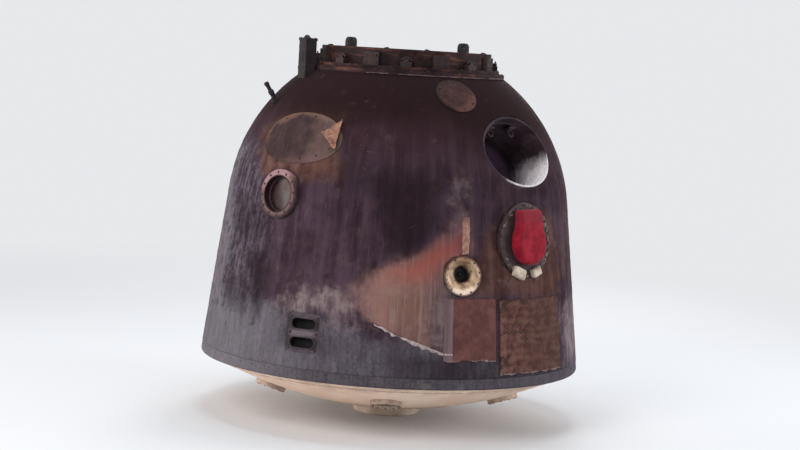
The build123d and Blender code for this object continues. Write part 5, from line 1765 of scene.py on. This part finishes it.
def post_fittings():
    """The beacon post's cap, lamp, louvres and seams, and the rings of the antenna stub."""
    middle = FLANGE_RADIUS + 0.002 + POST_SIZE[0] / 2
    top = upright(POST_AZIMUTH, middle, POST_TOP)
    mould = Mould()
    cap = rounded_outline(POST_SIZE[1] + 0.008, POST_SIZE[0] + 0.008, 0.011)
    mould.prism(top, cap, -0.012, 0.004, 0.003)
    mould.lathe(lifted(top, x=-0.02),
                [(0.021, 0.003), (0.021, 0.008), (0.015, 0.012), (0.013, 0.018), (0.0, 0.022)], 24)
    screws(mould, lifted(top, z=0.004), corners_of(0.05, 0.026), 0.004, 0.003)
    face = facing(POST_AZIMUTH, middle + POST_SIZE[0] / 2, POST_TOP - 0.08)
    for index in range(5):
        mould.box(lifted(face, y=-0.012 * index), (0.07, 0.005, 0.004), 0.0012)
    screws(mould, lifted(face, y=0.034), [(-0.045, 0.0), (0.045, 0.0)], 0.004, 0.003)
    mould.box(lifted(face, y=-0.085), (POST_SIZE[1] - 0.02, 0.012, 0.004), 0.0015)
    mould.piece("beacon_fittings", BLACKENED, "post_metal")
    mould = Mould()
    spot = surface_frame(STUB_AZIMUTH, TOP_HEIGHT - 0.195)
    mould.lathe(lifted(spot, z=0.014),
                [(0.02, -0.001), (0.019, 0.004), (0.0125, 0.006), (0.0125, 0.016), (0.009, 0.019)], 24)
    screws(mould, lifted(spot, z=0.0142), ring_of(4, 0.0175), 0.0028, 0.002)
    lean = outward(STUB_AZIMUTH, cos(STUB_LEAN), sin(STUB_LEAN))
    mould.lathe(frame_at(spot.translation, lean, UP),
                [(0.014, 0.012), (0.014, 0.05), (0.0165, 0.053), (0.0165, 0.07), (0.0115, 0.076),
                 (0.0115, 0.104), (0.014, 0.107), (0.014, 0.122), (0.01, 0.126), (0.0, 0.1265)], 24)
    mould.piece("stub_collar", BLACKENED, "stub_metal")


def umbilical_fittings():
    """Edge bolts, coupling rings and contact pins of the umbilical plate."""
    face = lifted(UMBILICAL_FRAME, z=UMBILICAL_STAND)
    width, height, _ = UMBILICAL_SIZE
    edge = [(0.055 * step, side * (height / 2 - 0.018)) for side in (-1, 1) for step in range(-3, 4)]
    edge += [(side * (width / 2 - 0.018), 0.045 * step) for side in (-1, 1) for step in (-1, 0, 1)]
    mould = Mould()
    screws(mould, face, edge, 0.006, 0.004)
    mould.piece("umbilical_bolts", BOLT, "plate_metal")
    mould = Mould()
    ridges = [(0.0272 + 0.0012 * (step % 2), 0.008 + 0.0016 * step) for step in range(8)]
    socket = [(0.0268, 0.0), (0.0255, 0.0025), (0.0215, 0.0025), (0.021, 0.0004), (0.0, 0.0004)]
    for column in range(4):
        for row in range(2):
            seat = lifted(face, (column - 1.5) * PLUG_PITCH[0], (row - 0.5) * PLUG_PITCH[1], turn=column)
            mould.lathe(seat, [(0.034, -0.001), (0.034, 0.004), (0.0275, 0.006)], 32)
            mould.lathe(seat, [(0.0268, 0.0065), *ridges, (0.0268, 0.0215)], 32)
            mould.lathe(lifted(seat, z=0.022), socket, 32)
            for x, y in ring_of(8, 0.0145) + ring_of(4, 0.0065):
                mould.lathe(lifted(seat, x, y, 0.022), [(0.0016, 0.0), (0.0016, 0.004), (0.0, 0.0048)], 8)
    metal = scorched("contacts", (170, 148, 112), (118, 98, 76), 60.0, (0.35, 0.5), 0.7, 0.35)
    mould.piece("umbilical_contacts", metal, "plug_metal")


def base_fittings():
    """Covers and bolts of the soft-landing engines, weld beads, and the rim's rivets."""
    covers, bolts = Mould(), Mould()
    lid = [(0.058, -0.001), (0.058, 0.003), (0.05, 0.005), (0.03, 0.005), (0.027, 0.002), (0.0, 0.002)]
    for azimuth in (60.0 * index for index in range(6)):
        out = outward(azimuth, ENGINE_CIRCLE, -sqrt(DOME_RADIUS**2 - ENGINE_CIRCLE**2))
        seat = frame_at(DOME_CENTRE + out, out, level_at(azimuth))
        deep = ENGINE_STAND - ENGINE_RECESS
        covers.lathe(lifted(seat, z=deep), lid, 36)
        screws(covers, lifted(seat, z=deep + 0.005), ring_of(6, 0.04), 0.004, 0.003)
        screws(bolts, lifted(seat, z=ENGINE_STAND), ring_of(10, 0.075, 0.3), 0.005, 0.004)
    metal = scorched("covers", (150, 132, 116), (104, 88, 78), 24.0, (0.5, 0.7), 0.3, 0.5)
    covers.piece("engine_covers", metal, "engine_metal")
    bolts.piece("engine_bolts", BOLT, "engine_metal")
    beads = Mould()
    for reach, radius in ((0.47, 0.004), (1.0, 0.0035)):
        level = DOME_CENTRE.z - sqrt(DOME_RADIUS**2 - reach**2)
        beads.tube([polar(reach, turn, level - 0.0006 + 0.0006 * sin(41 * turn))
                    for turn in turns_of(160)], radius, 6, True)
    weld = scorched("weld", (214, 190, 172), (182, 156, 140), 40.0, (0.5, 0.65), 0.0, 0.2)
    beads.piece("dome_welds", weld, "base_coat")
    rivets = Mould()
    for index in range(72):
        spot = facing(5.0 * index + 2.0, outline_radius(0.045), RIM_Z + 0.045)
        rivets.lathe(spot, [(0.0042, -0.0012), (0.0036, 0.0012), (0.0, 0.0018)], 8)
    rivets.piece("rim_rivets", DARK_BOLT, "rim_metal")


for name, azimuth, height in WINDOWS:
    window_fittings(name, azimuth, height)
periscope_fittings()
for name, azimuth, height in NOZZLES:
    nozzle_fittings(name, azimuth, height)
for name, azimuth, height in THRUSTERS:
    thruster_fittings(name, azimuth, height)
for name, azimuth, height in VENTS:
    mould = Mould()
    plugs_on_bell(mould, surface_frame(azimuth, height), ring_of(8, 0.1, 0.2), VENT_STAND, 0.006)
    mould.piece(f"vent_plugs_{name}", DARK_BOLT, "vent_coat")
mould = Mould()
edge = [(0.25 * cos(turn), 0.128 * sin(turn)) for turn in turns_of(14) if turn > 0.4]
plugs_on_bell(mould, surface_frame(*RESERVE), edge, RESERVE_STAND + 0.002, 0.0065)
mould.piece("reserve_plugs", DARK_BOLT, "reserve_coat")
well_fittings()
ring_fittings()
post_fittings()
umbilical_fittings()
base_fittings()


# The hatch lid and the cabin

HINGE_SPOKE = 6  # the eighth of a turn under the lid that its hinge takes
GRIP_STEPS, GRIP_SIDES = 240, 14
LID_PAINT = NODES["hatch_lid"].data.materials[0]
BRIGHT = painted("bright_metal", (182, 182, 178), (150, 150, 148), 0.28, (214, 214, 210), 0.75)


def ring_rib(mould, matrix, reach, half, height, crown, segments):
    """A ring raised on a lid, with a crest between its two flanks."""
    flank = height - crown
    mould.lathe(matrix, [(reach + half, -0.001), (reach + half, flank), (reach, height),
                         (reach - half, flank), (reach - half, -0.001)], segments)


def lid_fittings():
    """Ribs in the dish, an equalising valve, rim bolts; and under the lid the ribs and latch rods."""
    top = upright(0.0, 0.0, LID_TOP)
    dish = lifted(top, z=-DISH_DEPTH)
    below = upright(0.0, 0.0, LID_TOP - LID_THICKNESS) @ Matrix.Rotation(pi, 4, "X")
    mould = Mould()
    for index in range(8):
        mould.box(spoke(dish, radians(22.5 + 45.0 * index), 0.165), (0.14, 0.009, 0.011), 0.002)
    ring_rib(mould, dish, 0.089, 0.005, 0.007, 0.002, 64)
    ring_rib(mould, dish, 0.238, 0.005, 0.007, 0.002, 96)
    for index in range(8):
        if index != HINGE_SPOKE:
            mould.box(spoke(below, radians(45.0 * index), 0.228), (0.17, 0.01, 0.018), 0.002)
    ring_rib(mould, below, 0.14, 0.006, 0.015, 0.003, 72)
    ring_rib(mould, below, 0.323, 0.007, 0.013, 0.003, 96)
    mould.piece("lid_ribs", LID_PAINT, "lid_paint", HATCH)
    mould = Mould()
    screws(mould, top, ring_of(24, 0.272, 0.13), 0.006, 0.0045)
    valve = lifted(dish, 0.03, 0.15)
    mould.lathe(valve, [(0.024, -0.001), (0.024, 0.006), (0.02, 0.008), (0.014, 0.008), (0.014, 0.016),
                        (0.0, 0.016)], 30)
    mould.box(lifted(valve, 0.012, 0.0, 0.0145), (0.04, 0.009, 0.005), 0.001)
    gauge = [(0.022, -0.001), (0.022, 0.012), (0.018, 0.013), (0.018, 0.0105), (0.0, 0.0105)]
    mould.lathe(lifted(dish, -0.05, -0.15), gauge, 30)
    for index in range(8):
        if index == HINGE_SPOKE:
            continue
        turn = radians(45.0 * index + 22.5)
        rod = ((0.045, 0.022), (0.13, 0.016), (0.31, 0.012))
        mould.tube([below @ polar(reach, turn, rise) for reach, rise in rod], 0.0052, 10)
        mould.box(spoke(below, turn, 0.322), (0.034, 0.03, 0.02), 0.003)
        mould.box(spoke(below, turn, 0.2), (0.016, 0.024, 0.021), 0.002)
        screws(mould, spoke(below, turn, 0.322, 0.02), [(0.0, -0.009), (0.0, 0.009)], 0.003, 0.002)
    mould.piece("lid_hardware", BRIGHT, "wheel_metal", HATCH)
    grip = Mould()
    line = [polar(0.105, turn, WHEEL_HEIGHT) for turn in turns_of(GRIP_STEPS)]
    grip.tube(line, 0.0098, GRIP_SIDES, True)
    for index, vertex in enumerate(grip.verts):
        step = index // GRIP_SIDES
        out = (vertex - line[step % GRIP_STEPS]).normalized()
        grip.verts[index] = vertex + out * (0.0012 * (step % 8 < 4))
    grip.piece("wheel_grip", painted("grip", (64, 62, 60), (46, 44, 44), 0.6), "wheel_metal", HATCH,
               crease=80.0)


CUSHION_SHRINK = 0.006
CUSHION_GROWTH = 0.012  # the most that a point moves in the simulation
CLOTH_PRESSURE = 4.0
CLOTH_FRAMES = 20


def settle(mesh_source, name, material, voxel=0.011):
    """A cushion blown up by cloth from a slightly smaller copy of its solid, with its growth capped."""
    mesh = mesh_source.copy()
    piece = bpy.data.objects.new(name, mesh)
    mesh.materials.clear()
    adopt(piece, HULL, material)
    middle = sum((v.co for v in mesh.vertices), Vector()) / len(mesh.vertices)
    for vertex in mesh.vertices:
        vertex.co += (middle - vertex.co).normalized() * CUSHION_SHRINK
    remesh = piece.modifiers.new("remesh", "REMESH")
    remesh.mode, remesh.voxel_size = "VOXEL", voxel
    bake(piece)
    start = [vertex.co.copy() for vertex in piece.data.vertices]
    cloth = piece.modifiers.new("cloth", "CLOTH")
    cloth.settings.use_pressure = True
    cloth.settings.uniform_pressure_force = CLOTH_PRESSURE
    cloth.settings.effector_weights.gravity = 0.0
    cloth.settings.quality = 4
    cloth.point_cache.frame_start, cloth.point_cache.frame_end = 1, CLOTH_FRAMES
    for step in range(1, CLOTH_FRAMES + 1):
        bpy.context.scene.frame_set(step)
    bake(piece)
    bpy.context.scene.frame_set(1)
    for vertex, place in zip(piece.data.vertices, start):
        move = vertex.co - place
        vertex.co = place + move * min(1.0, CUSHION_GROWTH / max(move.length, 1e-9))
    return piece


def bake(piece):
    """Applies a piece's modifiers to its mesh."""
    graph = bpy.context.evaluated_depsgraph_get()
    mesh = bpy.data.meshes.new_from_object(piece.evaluated_get(graph), depsgraph=graph)
    piece.modifiers.clear()
    piece.data = mesh


COUCHES = [("centre", 0.0), ("left", 28.0), ("right", -28.0)]
FAN = 1.05  # how far the feet of the couches lie from the axis
BEND = 0.86  # where a pan's back turns down into its leg rest
CHANNEL = 0.085  # from seam to seam
SEAM_DEPTH = 0.0065
BACK_FACE = Vector((-0.145, 0.0, 0.989))
LEG_FACE = Vector((0.967, 0.0, 0.253))
WEB_DARK = painted("piping", (92, 92, 88), (70, 70, 66), 0.6)


def couch_frame(angle):
    """A couch's frame in the fan: x from the feet to the head, y across, z up."""
    ahead = radial(180.0 + angle)
    turn = Matrix((ahead, UP.cross(ahead), UP)).transposed().to_4x4()
    return Matrix.Translation((0.0, -FAN, RIM_Z)) @ turn


def couch_cushions():
    """Sewn cushions in the three pans, with pressed seams, and a harness and buckle on each."""
    cloth = fabric_material("couch_cloth", (150, 142, 124), (120, 112, 96))
    web = fabric_material("webbing", (78, 84, 96), (56, 60, 70))
    for name, angle in COUCHES:
        frame_of = couch_frame(angle)
        turned, back = frame_of.to_3x3(), frame_of.inverted()
        cushion = settle(NODES[f"couch_pad_{name}"].data, f"cushion_{name}", cloth)
        for vertex in cushion.data.vertices:
            spot = back @ vertex.co
            along = (spot.x - 0.82) / CHANNEL if spot.x > BEND else (spot.z - 0.2) / CHANNEL
            seam = max(0.0, 1.0 - abs(along - round(along)) * 8.5)
            middle = max(0.0, 1.0 - abs(abs(spot.y) - 0.055) * 110.0)
            face = BACK_FACE if spot.x > BEND else LEG_FACE
            vertex.co -= (turned @ face) * (SEAM_DEPTH * max(seam, middle * 0.8))
        cushion.data.shade_smooth()
        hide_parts(f"couch_pad_{name}")
        tree = BVHTree.FromPolygons([v.co.copy() for v in cushion.data.vertices],
                                    [tuple(p.vertices) for p in cushion.data.polygons])
        down = -BACK_FACE
        harness = Mould()
        for line in harness_lines():
            rows = []
            for index, point in enumerate(line):
                ahead = line[min(index + 1, len(line) - 1)] - line[max(index - 1, 0)]
                across = ahead.cross(down).normalized() * 0.021
                row = []
                for side in (-1.0, -0.5, 0.0, 0.5, 1.0):
                    start = frame_of @ (point + across * side - down * 0.12)
                    hit = tree.ray_cast(start, turned @ down, 0.3)[0]
                    spot = hit if hit is not None else frame_of @ (point + across * side)
                    row.append(spot - (turned @ down) * 0.003)
                rows.append(row + [spot + (turned @ down) * 0.0022 for spot in reversed(row)])
            harness.grid(rows, True)
        harness.piece(f"harness_{name}", web, "couch_pad", crease=50.0)
        buckle = Mould()
        over = frame_of @ (Vector((0.93, 0.0, 0.26)) + Vector((0.0, 0.0, 0.1)))
        hit = tree.ray_cast(over, -UP, 0.4)[0]
        if hit is not None:
            seat = frame_at(hit + Vector((0.0, 0.0, 0.006)), turned @ BACK_FACE,
                            turned @ Vector((0.0, 1.0, 0.0)))
            buckle.prism(seat, rounded_outline(0.066, 0.066, 0.02), -0.006, 0.014, 0.003)
            buckle.lathe(lifted(seat, z=0.014),
                         [(0.02, -0.001), (0.02, 0.003), (0.016, 0.005), (0.0, 0.005)], 28)
            for x, y in ((0.033, 0.033), (-0.033, 0.033), (0.033, -0.033), (-0.033, -0.033)):
                buckle.box(lifted(seat, x, y, turn=atan2(y, x)), (0.03, 0.044, 0.008), 0.0015)
            buckle.piece(f"buckle_{name}", BRIGHT, "wheel_metal")


def harness_lines():
    """Centre lines of the harness in a couch's frame, pressed on along the back's face."""
    lines = []
    for side in (-1, 1):
        lines.append([(1.44 - 0.5 * share, side * (0.09 - 0.055 * share), 0.34 - 0.07 * share)
                      for share in shares(24)])
        lines.append([(0.93 - 0.02 * share, side * (0.03 + 0.11 * share), 0.26)
                      for share in shares(8)])
    lines.append([(0.905 - 0.03 * share, 0.0, 0.255) for share in shares(3)])
    return [[Vector(point) for point in line] for line in lines]


def pan_half(x):
    """Half the width of a pan, which widens from the knees to the shoulders."""
    return 0.1025 + (x - 0.48) * (0.2 - 0.1025) / 1.02


def couch_trim():
    """Piping round the pans, and the struts' pads under them."""
    for name, angle in COUCHES:
        frame_of = couch_frame(angle)
        mould = Mould()
        for side in (-1, 1):
            line = [Vector((x, side * (pan_half(x) - 0.004), z))
                    for x, z in ((1.497, 0.3), (1.2, 0.256), (0.95, 0.2195), (0.84, 0.206), (0.818, 0.215),
                                 (0.80, 0.28), (0.76, 0.43), (0.742, 0.5))]
            mould.tube([frame_of @ point for point in line], 0.006, 8)
        mould.tube([frame_of @ Vector((1.497, y, 0.3)) for y in (-0.195, -0.1, 0.0, 0.1, 0.195)], 0.006, 8)
        mould.piece(f"couch_piping_{name}", WEB_DARK, "couch_shell")
        mould = Mould()
        for place in (1.33, 0.85):
            seat = frame_of @ Matrix.Translation((place, 0.0, 0.075))
            mould.box(seat, (0.1, 0.28, 0.006), 0.002)
            screws(mould, lifted(seat, z=0.006), [(x, y) for x in (-0.04, 0.04) for y in (-0.13, 0.13)],
                   0.006, 0.004)
        mould.piece(f"couch_feet_{name}", BRIGHT, "couch_shell")


def instruments():
    """Screens, gauges, switch rows and a keypad on the panel's face, with nothing written on them."""
    tilt = radians(25.0)
    face = frame_at(Vector((0.0, -0.6, RIM_Z + 0.76)), Vector((0.0, cos(tilt), -sin(tilt))),
                    Vector((1.0, 0.0, 0.0)))
    face = lifted(face, z=0.03)
    bezel, glass, switch = Mould(), Mould(), Mould()
    for x in (-0.17, 0.17):
        outer, inner = rounded_outline(0.2, 0.17, 0.012), rounded_outline(0.168, 0.138, 0.006)
        seat = lifted(face, x, 0.02)
        bezel.grid([[Vector((px, py, z)) for px, py in ring] for ring, z in
                    ((outer, -0.001), (outer, 0.008), (inner, 0.01), (inner, 0.003))], True, seat)
        glass.prism(seat, inner, 0.0, 0.0036, 0.0008)
        for index in range(6):
            switch.box(lifted(seat, -0.07 + 0.028 * index, -0.093, 0.0), (0.018, 0.01, 0.006), 0.0012)
    for index, (x, y) in enumerate(((0.0, 0.075), (-0.032, 0.015), (0.032, 0.015))):
        seat = lifted(face, x, y)
        reach = 0.03 if index == 0 else 0.022
        bezel.lathe(seat, [(reach, -0.001), (reach, 0.009), (reach * 0.86, 0.01), (reach * 0.84, 0.004)],
                    40)
        glass.lathe(seat, [(reach * 0.84, 0.0), (reach * 0.84, 0.004), (0.0, 0.0042)], 32)
        switch.box(lifted(seat, 0.0, reach * 0.3, 0.004, index * 0.7), (0.0022, reach * 0.8, 0.0015),
                   0.0004)
    for row in range(3):
        for column in range(4):
            switch.box(lifted(face, -0.033 + 0.022 * column, -0.035 - 0.02 * row), (0.016, 0.014, 0.006),
                       0.0015)
    for side in (-1, 1):
        for index in range(7):
            seat = lifted(face, side * 0.29, 0.09 - 0.03 * index)
            switch.lathe(seat,
                         [(0.006, 0.0), (0.006, 0.003), (0.0035, 0.004), (0.0026, 0.014), (0.0, 0.015)], 14)
    screws(switch, face, [(x, y) for x in (-0.295, -0.06, 0.06, 0.295) for y in (-0.112, 0.112)], 0.0042,
           0.003)
    trim = painted("bezel", (64, 68, 70), (48, 52, 54), 0.45, (120, 124, 124))
    bezel.piece("panel_bezels", trim, "panel_paint")
    glass.piece("panel_screens", painted("screen", (22, 34, 36), (14, 22, 24), 0.12), "panel_paint")
    switch.piece("panel_switches", painted("switches", (206, 202, 188), (178, 174, 162), 0.4),
                 "panel_paint")


lid_fittings()
couch_cushions()
couch_trim()
instruments()


# Beads that stand in for edge highlights, painted highlights, and scratches on the coat

# One grey for the beads, which are painted highlights, and for the scratches.
BEAD = scorched("highlight_bead_and_scratch", (98, 84, 86), (62, 48, 52), 30.0, (0.8, 0.9), 0.0, 0.4)


def flange_bead():
    """A broken grey bead along the foot of the flange, on the right of the front, a painted highlight on
    the flange's lower edge.
    """
    mould = Mould()
    for start, end in ((-22.0, -9.0), (-4.0, 31.0), (34.0, 52.0), (55.0, 78.0)):
        line = []
        for step in range(int((end - start) / 0.7) + 1):
            azimuth = start + 0.7 * step
            wander = 0.0012 * noise.noise(Vector((azimuth * 0.35, 3.0, 0.0)))
            line.append(outward(azimuth, FLANGE_RADIUS + 0.0015 + wander,
                                RIM_Z + TOP_HEIGHT + 0.004 + wander))
        mould.tube(line, 0.0032, 8)
    mould.piece("flange_bead", BEAD, "torn_coat")


flange_bead()
# A grey bead down the right shoulder: a painted highlight.
ragged_ribbon("shoulder_bead", [(80.0, 1.62), (78.5, 1.57), (75.0, 1.51), (74.4, 1.43)], 0.004, 0.0068,
              BEAD, "torn_coat", 2.0)
SCRATCHES = [
    [(-12.9, 1.241), (-9.2, 1.245)], [(-13.0, 1.262), (-12.7, 1.222)], [(-12.2, 1.165), (-10.9, 1.148)],
    [(16.4, 0.965), (18.0, 0.945)], [(4.0, 0.86), (5.6, 0.872)], [(-150.0, 1.31), (-146.0, 1.3)],
    [(118.0, 0.78), (121.0, 0.76)], [(-104.0, 1.12), (-101.5, 1.16)],
]
for index, line in enumerate(SCRATCHES):
    ragged_ribbon(f"scratch_{index + 1}", line, 0.0034, 0.0062, BEAD, "torn_coat", 5.0 * index)


# Camera, floor and light

CAMERA_DISTANCE = 11.4
CAMERA_HEIGHT = 1.844
CAMERA_LEAN = 3.4
FRAME_HEIGHT = 2.62
FRAME_SHAPE = 800 / 450
SENSOR = 36.0
AIM = Vector((0.02, 0.0, 1.10))
PALE = (0.80, 0.81, 0.83)
FLOOR_FADE = (2.0, 9.0)
LAMPS = [
    ("key", (-4.0, -7.5, 6.0), 4.5, 480.0, (1.0, 0.985, 0.96)),
    ("left", (-8.0, -1.0, 1.9), 4.0, 370.0, (1.0, 0.985, 0.96)),
    ("right", (8.0, 0.0, 2.4), 4.0, 370.0, (0.97, 0.98, 1.0)),
    ("top", (0.0, 0.5, 7.0), 4.0, 200.0, (1.0, 1.0, 1.0)),
    ("back", (1.5, 8.0, 4.5), 4.0, 260.0, (1.0, 1.0, 1.0)),
]


def camera():
    """The photo's view: level with the upper windows, leaning a little."""
    data = bpy.data.cameras.new("camera")
    data.sensor_width = SENSOR
    data.lens = SENSOR * CAMERA_DISTANCE / (FRAME_HEIGHT * FRAME_SHAPE)
    data.clip_end = 500.0
    eye = bpy.data.objects.new("camera", data)
    bpy.context.scene.collection.objects.link(eye)
    eye.location = (0.0, -CAMERA_DISTANCE, RIM_Z + CAMERA_HEIGHT)
    look = (AIM - eye.location).to_track_quat("-Z", "Y")
    eye.rotation_mode = "QUATERNION"
    eye.rotation_quaternion = look @ Matrix.Rotation(radians(CAMERA_LEAN), 4, "Z").to_quaternion()
    bpy.context.scene.camera = eye


def area_light(name, place, size, power, tint):
    """A round lamp that faces the object's middle."""
    data = bpy.data.lights.new(name, "AREA")
    data.shape, data.size, data.energy, data.color = "DISK", size, power, tint
    lamp = bpy.data.objects.new(name, data)
    bpy.context.scene.collection.objects.link(lamp)
    lamp.location = place
    lamp.rotation_mode = "QUATERNION"
    lamp.rotation_quaternion = (Vector((0.0, 0.0, 1.0)) - Vector(place)).to_track_quat("-Z", "Y")


def joined_nodes(tree, *links):
    """Links pairs of sockets, each an output and an input."""
    for source, target in links:
        tree.links.new(source, target)


def studio_world():
    """A pale sky for the camera and in reflections, and plain soft light for the object."""
    world = bpy.data.worlds.new("studio")
    bpy.context.scene.world = world
    world.use_nodes = True
    tree = world.node_tree
    tree.nodes.clear()
    ray, light, sky, both, output = (tree.nodes.new(f"ShaderNode{kind}") for kind in (
        "LightPath", "Background", "Background", "MixShader", "OutputWorld"))
    seen = ray.outputs["Is Camera Ray"]
    for kind in ("Is Glossy Ray", "Is Transmission Ray"):
        either = tree.nodes.new("ShaderNodeMath")
        either.operation = "MAXIMUM"
        joined_nodes(tree, (seen, either.inputs[0]), (ray.outputs[kind], either.inputs[1]))
        seen = either.outputs[0]
    light.inputs["Color"].default_value = (0.92, 0.95, 1.0, 1.0)
    light.inputs["Strength"].default_value = 0.5
    sky.inputs["Color"].default_value = (*PALE, 1.0)
    joined_nodes(tree, (seen, both.inputs[0]), (light.outputs[0], both.inputs[1]),
                 (sky.outputs[0], both.inputs[2]), (both.outputs[0], output.inputs[0]))


def studio_floor():
    """A pale floor that fades into the sky for the camera and keeps the object's shadow."""
    bpy.ops.mesh.primitive_plane_add(size=240.0, location=(0.0, 0.0, -0.0005))
    floor = bpy.context.object
    floor.name = "floor"
    g = Graph("floor")
    ray, glow, fade = g.node("LightPath"), g.node("Emission"), g.node("MixShader")
    x, y, _ = g.split()
    far = g.ramp(g.distance(x, y), *FLOOR_FADE)
    glow.inputs["Color"].default_value = (*PALE, 1.0)
    g.put(fade.inputs[0], g.mul(far, ray.outputs["Is Camera Ray"]))
    g.colour = (0.62, 0.63, 0.65, 1.0)
    g.finish(0.8)
    joined_nodes(g.tree, (g.shader.outputs[0], fade.inputs[1]), (glow.outputs[0], fade.inputs[2]),
                 (fade.outputs[0], g.output.inputs["Surface"]))
    floor.data.materials.append(g.material)


camera()
studio_world()
studio_floor()
for lamp in LAMPS:
    area_light(*lamp)
bpy.context.scene.view_settings.view_transform = "Standard"
